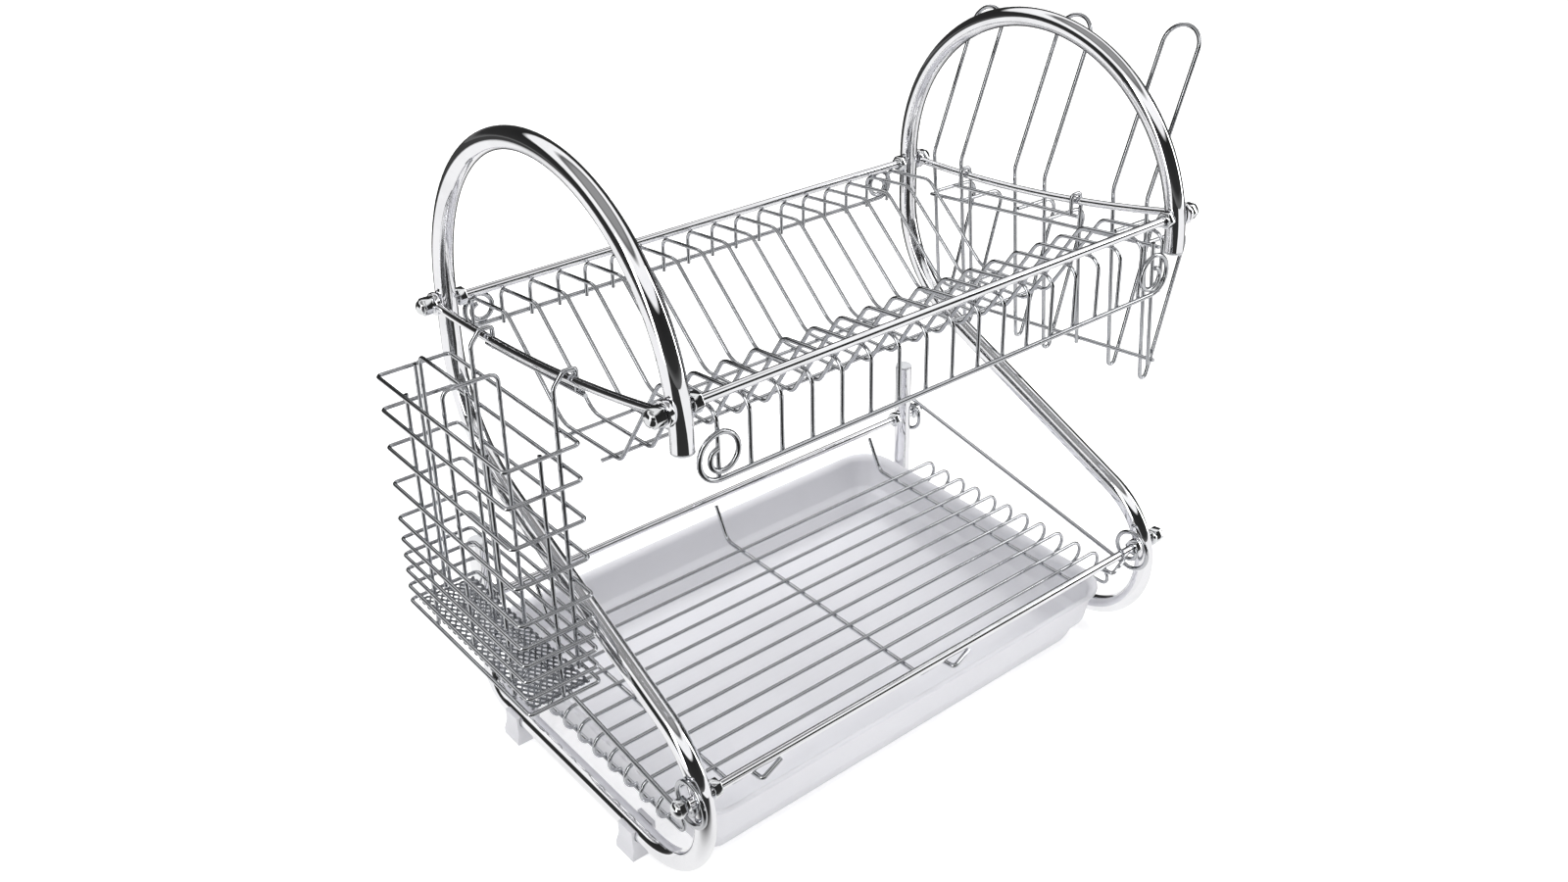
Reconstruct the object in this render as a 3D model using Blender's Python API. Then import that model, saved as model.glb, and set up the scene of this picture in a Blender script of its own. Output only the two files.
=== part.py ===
"""Two-tier chrome dish drying rack with a cutlery basket, a cup holder and a drip tray.

Metres, +Z up. X runs along the rails from left to right, -Y is the front, and the
origin is on the counter below the middle of the rack.
"""

import math

import bmesh
import bpy
from mathutils import Matrix, Vector

MM = 0.001
GAP = 0.3 * MM  # clearance between pieces that touch

# Side frames: one bent tube each, in the planes x = -SPAN/2 and x = +SPAN/2
SPAN = 375 * MM
TUBE_R = 6.25 * MM
TUBE_BORE_R = 5.15 * MM
ARCH_R = 118 * MM
ARCH_Z = 308 * MM
FRONT_END_Z = 303 * MM
SHOULDER_R = 92 * MM
SLOPE = math.radians(24.5)
NOSE_R = 55 * MM
NOSE_Y = -121.5 * MM
RUNNER_Z = 16 * MM
HEEL_R = 24 * MM
REAR_END_Z = 132 * MM

# Rails: rods that pass through the tubes and are bolted at both ends
ROD_R = 2.75 * MM
UPPER_FRONT_Z = 325 * MM
UPPER_BACK_Z = 301 * MM
LOWER_Z = 88 * MM
NUT_FLATS = 10 * MM
NUT_LENGTH = 5 * MM
DOME_LENGTH = 5 * MM
EYE_LENGTH = 3 * MM
EYE_R = 7 * MM
SIDE_ROD_R = 2.5 * MM
SIDE_RAIL_SAG = 7 * MM

# Upper basket
WIRE_R = 1.25 * MM
GUARD_R = 1.5 * MM
RIBS = 18
RIB_PITCH = 20 * MM
TROUGH_BACK = (24 * MM, 251 * MM)
TROUGH_FRONT = (-34 * MM, 253 * MM)
TROUGH_WIRES_Y = {"back": 14 * MM, "front": -24 * MM}
FRONT_GUARD_Z = 283 * MM
BACK_GUARD_Z = 276 * MM
FRONT_CURL = (13 * MM, 4.5 * MM)
BACK_CURL = (10 * MM, 4 * MM)
WELD = 0.7 * MM  # how far welded wires sink into each other

# Lower rack
SLAT_Z = 60.4 * MM
SLATS = 11
SLAT_PITCH = 16.5 * MM
SLAT_BACK_Y = 85 * MM
SLAT_HALF = 183 * MM
SLAT_END_R = 8.2 * MM
CROSS_X = (-150 * MM, 0.0, 150 * MM)
LOWER_CURL = (14 * MM, 4.9 * MM)

# Cutlery basket, hung outside the left frame
CUTLERY_X = (-248 * MM, -203 * MM)
CUTLERY_Y = (-49 * MM, 90 * MM)
CUTLERY_Z = (131 * MM, 282 * MM)
RING_SHARES = (0, 0.07, 0.145, 0.215, 0.29, 0.385, 0.54, 0.70, 0.86, 1)
CUTLERY_HOOKS_Y = (-30 * MM, 58 * MM)
MESH_CELLS = (4, 11)

# Cup holder, hung outside the right frame
CUP_HOOKS_Y = (-33 * MM, 68 * MM)
CUP_FRAME_Y = (-94 * MM, 110 * MM)
CUP_TOP_Z = 283 * MM
CUP_BOTTOM_Z = 200 * MM
CUP_LEG_X = 204 * MM
CUP_LOOPS_Y = (-70 * MM, 16 * MM, 95 * MM)
CUP_LOOP_R = 13.5 * MM
CUP_WIRE_R = 1.4 * MM

# Drip tray
TRAY_HALF_X = 180 * MM
TRAY_FRONT_Y = -104 * MM
TRAY_BACK_Y = 150 * MM

# Feet
FOOT_Y = (-50 * MM, 82 * MM)
FOOT_LENGTH = 15 * MM

HALF = SPAN / 2
BACK_Y = ARCH_R
NOSE = Vector((NOSE_Y + NOSE_R, RUNNER_Z + NOSE_R))
UPPER_FRONT_Y = -math.sqrt(ARCH_R**2 - (UPPER_FRONT_Z - ARCH_Z) ** 2)
LOWER_FRONT_Y = NOSE.x - math.sqrt(NOSE_R**2 - (LOWER_Z - NOSE.y) ** 2)
BOLTS = {
    "upper_front": (UPPER_FRONT_Y, UPPER_FRONT_Z),
    "upper_back": (BACK_Y, UPPER_BACK_Z),
    "lower_front": (LOWER_FRONT_Y, LOWER_Z),
    "lower_back": (BACK_Y, LOWER_Z),
}
SIDES = {"left": -1, "right": 1}
EYE_X = HALF + TUBE_R + GAP + EYE_LENGTH / 2
CAP_X = EYE_X + EYE_LENGTH / 2 + GAP
NUT_X = HALF - TUBE_R - GAP - NUT_LENGTH
ROD_END_X = CAP_X + NUT_LENGTH - 0.5 * MM
SPIRAL_X = NUT_X - GAP - GUARD_R


def clear_scene():
    """Remove the startup objects and make one collection for parts and one for cutters."""
    for obj in list(bpy.data.objects):
        bpy.data.objects.remove(obj, do_unlink=True)
    made = []
    for name in ("dish_drying_rack", "cutters"):
        folder = bpy.data.collections.new(name)
        bpy.context.scene.collection.children.link(folder)
        made.append(folder)
    made[1].hide_render = True
    return made


PARTS, CUTTERS = clear_scene()


def finish(name, colour, roughness, metallic):
    """A Principled material in a plain colour."""
    made = bpy.data.materials.new(name)
    made.use_nodes = True
    shader = made.node_tree.nodes["Principled BSDF"]
    shader.inputs["Base Color"].default_value = (*colour, 1)
    shader.inputs["Roughness"].default_value = roughness
    shader.inputs["Metallic"].default_value = metallic
    made.diffuse_color = (*colour, 1)
    return made


CHROME = finish("chrome_plate", (0.80, 0.81, 0.83), 0.08, 1.0)
BRIGHT_WIRE = finish("bright_wire", (0.72, 0.73, 0.75), 0.14, 1.0)
CLEAR_PLASTIC = finish("frosted_plastic", (0.80, 0.80, 0.84), 0.35, 0.0)
WHITE_PLASTIC = finish("white_plastic", (0.86, 0.86, 0.88), 0.40, 0.0)


# ---------------------------------------------------------------- mesh helpers


def mesh_object(name, mesh, folder, material):
    """Link a mesh as an object with one material, smooth on its round parts."""
    obj = bpy.data.objects.new(name, mesh)
    folder.objects.link(obj)
    mesh.materials.clear()
    mesh.materials.append(material)
    mesh.shade_smooth()
    mesh.set_sharp_from_angle(angle=math.radians(40))
    if folder is CUTTERS:
        obj.hide_render = True
        obj.display_type = "WIRE"
    return obj


def applied(obj, weld=0.0):
    """Replace an object by its evaluated mesh, with doubles merged when weld is given."""
    bpy.context.view_layer.update()
    graph = bpy.context.evaluated_depsgraph_get()
    mesh = bpy.data.meshes.new_from_object(obj.evaluated_get(graph))
    mesh.transform(obj.matrix_world)
    if weld:
        shape = bmesh.new()
        shape.from_mesh(mesh)
        bmesh.ops.remove_doubles(shape, verts=shape.verts, dist=weld)
        bmesh.ops.recalc_face_normals(shape, faces=shape.faces)
        shape.to_mesh(mesh)
        shape.free()
    name, folder = obj.name, obj.users_collection[0]
    material = obj.data.materials[0]
    bpy.data.objects.remove(obj, do_unlink=True)
    made = mesh_object(name, mesh, folder, material)
    made.name = name
    return made


def wire(name, points, radius, material=BRIGHT_WIRE, closed=False, sides=1, folder=PARTS):
    """A round wire along the points. sides is the bevel resolution: 1 gives 6 faces round."""
    curve = bpy.data.curves.new(name, "CURVE")
    curve.dimensions = "3D"
    curve.bevel_depth = radius
    curve.bevel_resolution = sides
    curve.use_fill_caps = not closed
    spline = curve.splines.new("POLY")
    spline.points.add(len(points) - 1)
    for place, point in zip(spline.points, points):
        place.co = (*point, 1)
    spline.use_cyclic_u = closed
    curve.materials.append(material)
    obj = bpy.data.objects.new(name, curve)
    folder.objects.link(obj)
    return applied(obj, weld=1e-6)


def boolean(target, others, operation):
    """Join others to target, or cut them from it, one at a time. Cutters stay in their collection."""
    for other in others:
        step = target.modifiers.new(operation.lower(), "BOOLEAN")
        step.operation = operation
        step.solver = "EXACT"
        step.object = other
    target = applied(target)
    if operation == "UNION":
        for other in others:
            bpy.data.objects.remove(other, do_unlink=True)
    return target


def disc(name, centre, axis, radius, length, sides, folder=PARTS, material=CHROME):
    """A cylinder or prism along X, Y or Z, centred on a point."""
    shape = bmesh.new()
    bmesh.ops.create_cone(
        shape, cap_ends=True, segments=sides, radius1=radius, radius2=radius, depth=length
    )
    mesh = bpy.data.meshes.new(name)
    shape.to_mesh(mesh)
    shape.free()
    obj = mesh_object(name, mesh, folder, material)
    if axis == "X":
        obj.rotation_euler = (0, math.pi / 2, 0)
    elif axis == "Y":
        obj.rotation_euler = (math.pi / 2, 0, 0)
    obj.location = centre
    return applied(obj)


def arc(centre, radius, start, end, steps):
    """Points of a plane arc, in degrees, as pairs."""
    angles = (math.radians(start + (end - start) * i / steps) for i in range(steps + 1))
    return [(centre[0] + radius * math.cos(a), centre[1] + radius * math.sin(a)) for a in angles]


def rounded(corners, radii, steps=2):
    """A polyline whose inner corners are replaced by arcs of the given radii."""
    corners = [Vector(corner) for corner in corners]
    path = [corners[0]]
    for before, corner, after, radius in zip(corners, corners[1:], corners[2:], radii):
        inward, outward = (before - corner).normalized(), (after - corner).normalized()
        half = inward.angle(outward) / 2
        reach = radius / math.tan(half)
        middle = corner + (inward + outward).normalized() * radius / math.sin(half)
        first = (corner + inward * reach - middle).normalized()
        last = (corner + outward * reach - middle).normalized()
        path += [middle + first.slerp(last, i / steps) * radius for i in range(steps + 1)]
    return path + [corners[-1]]


def spiral(centre, outer, inner, start, turns, steps):
    """Points of a curl that winds inwards from a start angle in degrees."""
    points = []
    for i in range(steps + 1):
        share = i / steps
        radius = outer + (inner - outer) * max(0.0, (share - 0.35) / 0.65)
        angle = math.radians(start + 360 * turns * share)
        points.append((centre[0] + radius * math.cos(angle), centre[1] + radius * math.sin(angle)))
    return points


def rail_z(y):
    """Height of the upper side rails, which sag a little between their bolts."""
    share = (y - UPPER_FRONT_Y) / (BACK_Y - UPPER_FRONT_Y)
    line = UPPER_FRONT_Z + (UPPER_BACK_Z - UPPER_FRONT_Z) * share
    return line - SIDE_RAIL_SAG * 4 * share * (1 - share)


# ---------------------------------------------------------------- side frames


def frame_outline():
    """Centre line of a side frame as (y, z), from the front end over the arch to the rear end."""
    down = Vector((-math.cos(SLOPE), -math.sin(SLOPE)))
    touch = NOSE + NOSE_R * Vector((-math.sin(SLOPE), math.cos(SLOPE)))
    corner = touch - down * ((touch.x - BACK_Y) / down.x)
    over = [(-ARCH_R, FRONT_END_Z)] + arc((0, ARCH_Z), ARCH_R, 180, 0, 14)
    back = rounded([(BACK_Y, ARCH_Z, 0), (*corner, 0), (*touch, 0)], [SHOULDER_R], 5)
    nose = arc(NOSE, NOSE_R, 90 + math.degrees(SLOPE), 270, 8)
    heel_start = (NOSE.x, RUNNER_Z, 0)
    heel = rounded([heel_start, (BACK_Y, RUNNER_Z, 0), (BACK_Y, REAR_END_Z, 0)], [HEEL_R], 4)
    return over + [p.xy for p in back[1:-1]] + nose + [p.xy for p in heel[1:]]


def side_frame(side):
    """One bent tube, open at both ends, with four cross holes for the rails."""
    x = SIDES[side] * HALF
    path = [Vector((x, y, z)) for y, z in frame_outline()]
    tube = wire(f"side_frame_{side}", path, TUBE_R, CHROME, sides=4)
    longer = [path[0] - Vector((0, 0, 1 * MM))] + path[1:-1] + [path[-1] + Vector((0, 0, 1 * MM))]
    hollow = wire(f"tube_core_{side}", longer, TUBE_BORE_R, CHROME, sides=2, folder=CUTTERS)
    tube = boolean(tube, [hollow], "DIFFERENCE")
    holes = [
        disc(f"rail_hole_{side}_{name}", (x, *place), "X", ROD_R + GAP, 20 * MM, 8, CUTTERS)
        for name, place in BOLTS.items()
    ]
    return boolean(tube, holes, "DIFFERENCE")


def tube_plug(name, x, y, z, facing):
    """A stepped end plug: a flange that covers the tube end and a stem inside it."""
    flange = disc(name, (x, y, z + facing * (GAP + 0.6 * MM)), "Z", TUBE_R, 1.2 * MM, 12)
    stem_length = 7 * MM
    stem_centre = (x, y, z - facing * (stem_length / 2 - 0.8 * MM))
    stem = disc(f"{name}_stem", stem_centre, "Z", TUBE_BORE_R - 2 * GAP, stem_length, 8)
    return boolean(flange, [stem], "UNION")


def foot(name, x, y):
    """A clip-on foot: a flared pad under a saddle that grips the runner from below."""
    shape = bmesh.new()
    levels = ((0, 10, 1.0), (4 * MM, 9, 0.94), (8 * MM, 8.6, 0.8), (RUNNER_Z + 4 * MM, 8.6, 0.8))
    rings = []
    for z, half_width, share in levels:
        half_y = FOOT_LENGTH / 2 * (share + 0.2)
        corners = ((-1, -1), (1, -1), (1, 1), (-1, 1))
        rings.append(
            [shape.verts.new((x + sx * half_width * MM, y + sy * half_y, z)) for sx, sy in corners]
        )
    for low, high in zip(rings, rings[1:]):
        for i in range(4):
            shape.faces.new((low[i], low[(i + 1) % 4], high[(i + 1) % 4], high[i]))
    shape.faces.new(rings[0][::-1])
    shape.faces.new(rings[-1])
    mesh = bpy.data.meshes.new(name)
    shape.to_mesh(mesh)
    shape.free()
    block = mesh_object(name, mesh, PARTS, WHITE_PLASTIC)
    groove = disc(f"{name}_groove", (x, y, RUNNER_Z), "Y", TUBE_R + GAP, 40 * MM, 12, CUTTERS)
    return boolean(block, [groove], "DIFFERENCE")


# ---------------------------------------------------------------- rails and nuts


def rail(name, place):
    """A straight rod from cap nut to cap nut."""
    y, z = place
    ends = [(-ROD_END_X, y, z), (ROD_END_X, y, z)]
    return wire(name, ends, ROD_R, CHROME, sides=2)


def hex_nut(name, side, place):
    """A plain nut on the rail, against the inner face of the tube."""
    centre = (SIDES[side] * (NUT_X + NUT_LENGTH / 2), *place)
    corner = NUT_FLATS / math.sqrt(3)
    nut = disc(name, centre, "X", corner, NUT_LENGTH, 6)
    hole = disc(f"{name}_hole", centre, "X", ROD_R + GAP, 2 * NUT_LENGTH, 8, CUTTERS)
    return boolean(nut, [hole], "DIFFERENCE")


def cap_nut(name, side, place):
    """A domed nut on the outer end of the rail, with a blind hole."""
    sign = SIDES[side]
    profile = [
        (0.0, 0.0),
        (NUT_FLATS / 2, 0.0),
        (NUT_FLATS / 2, NUT_LENGTH),
        *((r, NUT_LENGTH + z) for r, z in arc((0, 0), DOME_LENGTH, 5, 90, 4)),
    ]
    shape = bmesh.new()
    corners = [shape.verts.new((r, 0, z)) for r, z in profile]
    for low, high in zip(corners, corners[1:]):
        shape.edges.new((low, high))
    bmesh.ops.spin(
        shape, geom=shape.verts[:] + shape.edges[:], cent=(0, 0, 0), axis=(0, 0, 1),
        angle=math.tau, steps=12,
    )
    bmesh.ops.remove_doubles(shape, verts=shape.verts, dist=1e-6)
    bmesh.ops.recalc_face_normals(shape, faces=shape.faces)
    mesh = bpy.data.meshes.new(name)
    shape.to_mesh(mesh)
    shape.free()
    dome = mesh_object(name, mesh, PARTS, CHROME)
    dome.rotation_euler = (0, sign * math.pi / 2, 0)
    dome.location = (sign * CAP_X, *place)
    dome = applied(dome)
    centre = (sign * (CAP_X + NUT_LENGTH / 2), *place)
    hexagon = disc(f"{name}_hex", centre, "X", NUT_FLATS / math.sqrt(3), NUT_LENGTH, 6)
    depth = ROD_END_X + 0.5 * MM - CAP_X
    hole_centre = (sign * (CAP_X + depth / 2 - 1 * MM), *place)
    hole = disc(f"{name}_hole", hole_centre, "X", ROD_R + GAP, depth + 2 * MM, 8, CUTTERS)
    dome = boolean(dome, [hexagon], "UNION")
    return boolean(dome, [hole], "DIFFERENCE")


def spacer(name, side, place):
    """A washer that fills the bolt where no wire eye sits under the cap nut."""
    centre = (SIDES[side] * EYE_X, *place)
    ring = disc(name, centre, "X", EYE_R - 1.5 * MM, EYE_LENGTH, 12)
    hole = disc(f"{name}_hole", centre, "X", ROD_R + GAP, 3 * EYE_LENGTH, 8, CUTTERS)
    return boolean(ring, [hole], "DIFFERENCE")


def upper_side_rail(side):
    """A sagging rod outside the frame, ending in flat eyes under the cap nuts."""
    x = SIDES[side] * EYE_X
    bolts = (BOLTS["upper_front"], BOLTS["upper_back"])
    inset = EYE_R - 0.6 * MM
    steps = 9
    ends = (bolts[0][0] + inset, bolts[1][0] - inset)
    ys = [ends[0] + (ends[1] - ends[0]) * i / steps for i in range(steps + 1)]
    path = [(x, y, rail_z(y)) for y in ys]
    rod = wire(f"upper_side_rail_{side}", path, SIDE_ROD_R, CHROME, sides=2)
    eyes = [
        disc(f"side_eye_{side}_{i}", (x, *place), "X", EYE_R, EYE_LENGTH, 14)
        for i, place in enumerate(bolts)
    ]
    rod = boolean(rod, eyes, "UNION")
    holes = [
        disc(f"side_eye_hole_{side}_{i}", (x, *place), "X", ROD_R + GAP, 20 * MM, 8, CUTTERS)
        for i, place in enumerate(bolts)
    ]
    return boolean(rod, holes, "DIFFERENCE")


# ---------------------------------------------------------------- upper basket


def rib_outline():
    """(y, z) of one rib: back drop, back slope, trough, front rise, shelf and front drop."""
    under = ROD_R + GAP + WIRE_R
    back, front = BACK_Y + 4 * MM, UPPER_FRONT_Y - 5.7 * MM
    corners = [
        (back, BACK_GUARD_Z - 2.5 * MM),
        (back, UPPER_BACK_Z - under),
        (79 * MM, UPPER_BACK_Z),
        TROUGH_BACK,
        TROUGH_FRONT,
        (-75 * MM, 315.5 * MM),
        (front, UPPER_FRONT_Z - under),
        (front, FRONT_GUARD_Z - 1.5 * MM),
    ]
    radii = [7 * MM, 10 * MM, 16 * MM, 8 * MM, 9 * MM, 8 * MM]
    return [p.xy for p in rounded([(*c, 0) for c in corners], radii, 1)]


def guard_wire(name, y, z, left, right, curl):
    """A wire along X, from x = -left to x = right, whose ends curl upwards into a spiral."""
    outer, inner = curl
    far = spiral((left, z + outer), outer, inner, -90, 1.45, 16)
    near = spiral((right, z + outer), outer, inner, -90, 1.45, 16)
    points = [(-px, y, pz) for px, pz in reversed(far)] + [(px, y, pz) for px, pz in near]
    return wire(name, points, GUARD_R)


def upper_basket():
    """Eighteen ribs welded to a front and a back guard wire and two trough wires."""
    outline = rib_outline()
    first = -RIB_PITCH * (RIBS - 1) / 2
    front_y = outline[-1].x - WIRE_R - GUARD_R + WELD
    back_y = outline[0].x + WIRE_R + GUARD_R - WELD
    long_wires = [
        guard_wire("front_guard", front_y, FRONT_GUARD_Z, 170 * MM, 160 * MM, FRONT_CURL),
        guard_wire("back_guard", back_y, BACK_GUARD_Z, 164 * MM, 164 * MM, BACK_CURL),
    ]
    for name, y in TROUGH_WIRES_Y.items():
        share = (y - TROUGH_BACK[0]) / (TROUGH_FRONT[0] - TROUGH_BACK[0])
        z = TROUGH_BACK[1] + (TROUGH_FRONT[1] - TROUGH_BACK[1]) * share - 2 * WIRE_R + WELD
        ends = [(x, y, z) for x in (first - 6 * MM, -first + 6 * MM)]
        long_wires.append(wire(f"trough_wire_{name}", ends, WIRE_R))
    ribs = []
    for i in range(RIBS):
        x = first + RIB_PITCH * i
        ribs.append(wire(f"rib_{i + 1}", [(x, p.x, p.y) for p in outline], WIRE_R))
    basket = long_wires[0]
    basket.name = "upper_basket"
    return boolean(basket, ribs + long_wires[1:], "UNION")


# ---------------------------------------------------------------- lower rack


def slat(name, y):
    """A long wire whose ends turn down outside the frames."""
    bend = arc((SLAT_HALF, SLAT_Z - SLAT_END_R), SLAT_END_R, 90, -90, 4)
    right = [(SLAT_HALF - 20 * MM, SLAT_Z)] + bend
    points = [(-px, y, pz) for px, pz in reversed(right)] + [(px, y, pz) for px, pz in right]
    return wire(name, points, WIRE_R)


def cross_wire(name, x):
    """A wire under the slats that rises to both rails and ends in a lug before the front one."""
    low = SLAT_Z - WIRE_R - GUARD_R + WELD
    under = LOWER_Z - ROD_R - GAP - GUARD_R
    corners = [
        (x, BACK_Y - 2 * MM, under - 1 * MM),
        (x, 103 * MM, low),
        (x, -95 * MM, low),
        (x, LOWER_FRONT_Y + 5 * MM, under - 3 * MM),
        (x, LOWER_FRONT_Y - 6 * MM, under - 1.5 * MM),
        (x + 17 * MM, LOWER_FRONT_Y - 1 * MM, under - 0.3 * MM),
    ]
    return wire(name, rounded(corners, [8 * MM, 8 * MM, 6 * MM, 2 * MM]), GUARD_R)


def lower_rack():
    """Eleven slats on three cross wires, tied below their turned-down ends on both sides."""
    slats = [slat(f"slat_{i + 1}", SLAT_BACK_Y - SLAT_PITCH * i) for i in range(SLATS)]
    front = SLAT_BACK_Y - SLAT_PITCH * (SLATS - 1)
    tie_z = SLAT_Z - 2 * SLAT_END_R - 2 * WIRE_R + WELD
    others = [cross_wire(f"cross_wire_{i + 1}", x) for i, x in enumerate(CROSS_X)]
    for side, sign in SIDES.items():
        x = sign * (SLAT_HALF + 1 * MM)
        corners = [
            (x, SLAT_BACK_Y + 5 * MM, tie_z),
            (x, front - 18 * MM, tie_z),
            (x, front - 12 * MM, tie_z + 14 * MM),
        ]
        others.append(wire(f"tie_{side}", rounded(corners, [5 * MM], 3), WIRE_R))
    slats[0].name = "lower_rack"
    return boolean(slats[0], slats[1:] + others, "UNION")


def lower_guard(side, front_x):
    """A wire from a curl round the back bolt to a curl round the front bolt, at front_x."""
    sign = SIDES[side]
    outer, inner = LOWER_CURL
    back = spiral(BOLTS["lower_back"], outer, inner, 90, -1.25, 14)
    front = spiral(BOLTS["lower_front"], outer, inner, 270, -1.25, 14)
    points = [(sign * EYE_X, y, z) for y, z in reversed(back)]
    points += [(sign * front_x, y, z) for y, z in front]
    return wire(f"lower_guard_{side}", points, GUARD_R)


# ---------------------------------------------------------------- cutlery basket


def ring_path(xs, ys, z, radius, steps=2):
    """A closed rounded rectangle at height z."""
    points = []
    corners = ((1, 1, 0), (0, 1, 90), (0, 0, 180), (1, 0, 270))
    for ix, iy, start in corners:
        centre = (xs[ix] + (radius if ix == 0 else -radius), ys[iy] + (radius if iy == 0 else -radius))
        points += [(px, py, z) for px, py in arc(centre, radius, start, start + 90, steps)]
    return points


def hook_path(side_x, y, low_z):
    """A wire up the outside, over the side rail and a little way down behind it."""
    sign = -1 if side_x < 0 else 1
    rail = rail_z(y)
    behind = sign * (EYE_X - SIDE_ROD_R - 2.2 * MM)
    corners = [
        (side_x, y, low_z),
        (side_x, y, rail - 3 * MM),
        (sign * (EYE_X + 3 * MM), y, rail + 4.9 * MM),
        (behind, y, rail + 4.5 * MM),
        (behind, y, rail - 9 * MM),
    ]
    return rounded(corners, [6 * MM, 2.5 * MM, 2 * MM])


def cutlery_cage():
    """Ten rings on upright wires, with two hooks and the bar that joins them."""
    low, high = CUTLERY_Z
    rings = []
    for i, share in enumerate(RING_SHARES):
        path = ring_path(CUTLERY_X, CUTLERY_Y, low + (high - low) * share, 3 * MM, 1)
        rings.append(wire(f"ring_{i + 1}", path, WIRE_R, closed=True))
    inner = CUTLERY_X[1] - 2 * WIRE_R + WELD
    outer = CUTLERY_X[0] + 2 * WIRE_R - WELD
    extra = []
    for i, y in enumerate(CUTLERY_HOOKS_Y):
        path = hook_path(inner, y, low - 1 * MM)
        extra.append(wire(f"cutlery_hook_{i + 1}", path, CUP_WIRE_R))
        ends = [(outer, y, low - 1 * MM), (outer, y, high + 1 * MM)]
        extra.append(wire(f"upright_{i + 1}", ends, WIRE_R))
    for i, y in enumerate(CUTLERY_Y):
        end_y = y + (2 * WIRE_R - WELD) * (1 if i == 0 else -1)
        x = sum(CUTLERY_X) / 2
        ends = [(x, end_y, low - 1 * MM), (x, end_y, high + 1 * MM)]
        extra.append(wire(f"end_upright_{i + 1}", ends, WIRE_R))
    bar = []
    for y, over in zip(CUTLERY_HOOKS_Y, (-8 * MM, 8 * MM)):
        end = hook_path(inner, y, low)[-1]
        bar.append((end.x, y + over, end.z + 0.5 * MM))
    extra.append(wire("cutlery_bar", bar, CUP_WIRE_R))
    rings[0].name = "cutlery_cage"
    return boolean(rings[0], rings[1:] + extra, "UNION")


def cutlery_floor():
    """An expanded-metal sheet with lozenge openings, lying on the lowest ring."""
    margin = 2 * WIRE_R + 1.2 * MM
    xs = (CUTLERY_X[0] + margin, CUTLERY_X[1] - margin - 0.8 * MM)
    ys = (CUTLERY_Y[0] + margin, CUTLERY_Y[1] - margin)
    z = CUTLERY_Z[0]
    shape = bmesh.new()
    bmesh.ops.create_cube(shape, size=1)
    mesh = bpy.data.meshes.new("cutlery_floor")
    shape.to_mesh(mesh)
    shape.free()
    sheet = mesh_object("cutlery_floor", mesh, PARTS, BRIGHT_WIRE)
    sheet.scale = (xs[1] - xs[0], ys[1] - ys[0], 1.2 * MM)
    sheet.location = (sum(xs) / 2, sum(ys) / 2, z)
    sheet = applied(sheet)
    pitch_x = (xs[1] - xs[0] - 3 * MM) / MESH_CELLS[0]
    pitch_y = (ys[1] - ys[0] - 3 * MM) / MESH_CELLS[1]
    lozenges = bmesh.new()
    for row in range(MESH_CELLS[1]):
        odd = row % 2
        for column in range(MESH_CELLS[0] - odd):
            x = xs[0] + 1.5 * MM + pitch_x * (column + 0.5 + odd / 2)
            y = ys[0] + 1.5 * MM + pitch_y * (row + 0.5)
            made = bmesh.ops.create_cone(
                lozenges, cap_ends=True, segments=4, radius1=1, radius2=1, depth=6 * MM
            )["verts"]
            bmesh.ops.scale(lozenges, vec=(pitch_x * 0.40, pitch_y * 0.62, 1), verts=made)
            bmesh.ops.translate(lozenges, vec=(x, y, z), verts=made)
    cutter = bpy.data.meshes.new("mesh_openings")
    lozenges.to_mesh(cutter)
    lozenges.free()
    openings = mesh_object("mesh_openings", cutter, CUTTERS, BRIGHT_WIRE)
    return boolean(sheet, [openings], "DIFFERENCE")


def cutlery_divider(name, start, end, low, high):
    """An inverted U of wire that splits the basket."""
    lift = Vector((0, 0, high - low))
    start, end = Vector((*start, low)), Vector((*end, low))
    corners = [start, start + lift, end + lift, end]
    return wire(name, rounded(corners, [5 * MM, 5 * MM]), WIRE_R)


# ---------------------------------------------------------------- cup holder


def cup_leg_x(z):
    """The legs lean outwards a little towards the bottom."""
    return CUP_LEG_X + (313 * MM - z) * 0.08


def cup_bar_z(y, level):
    """The holder's bars run parallel to the side rail."""
    return level + (UPPER_FRONT_Z - UPPER_BACK_Z) * (16 * MM - y) / (BACK_Y - UPPER_FRONT_Y)


def cup_upright(y, low_z, high_z):
    """The two ends of an upright just inside the holder's bars."""
    inward = 4 * CUP_WIRE_R + GAP - WELD
    return [(cup_leg_x(z) - inward, y, z) for z in (low_z, high_z)]


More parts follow.
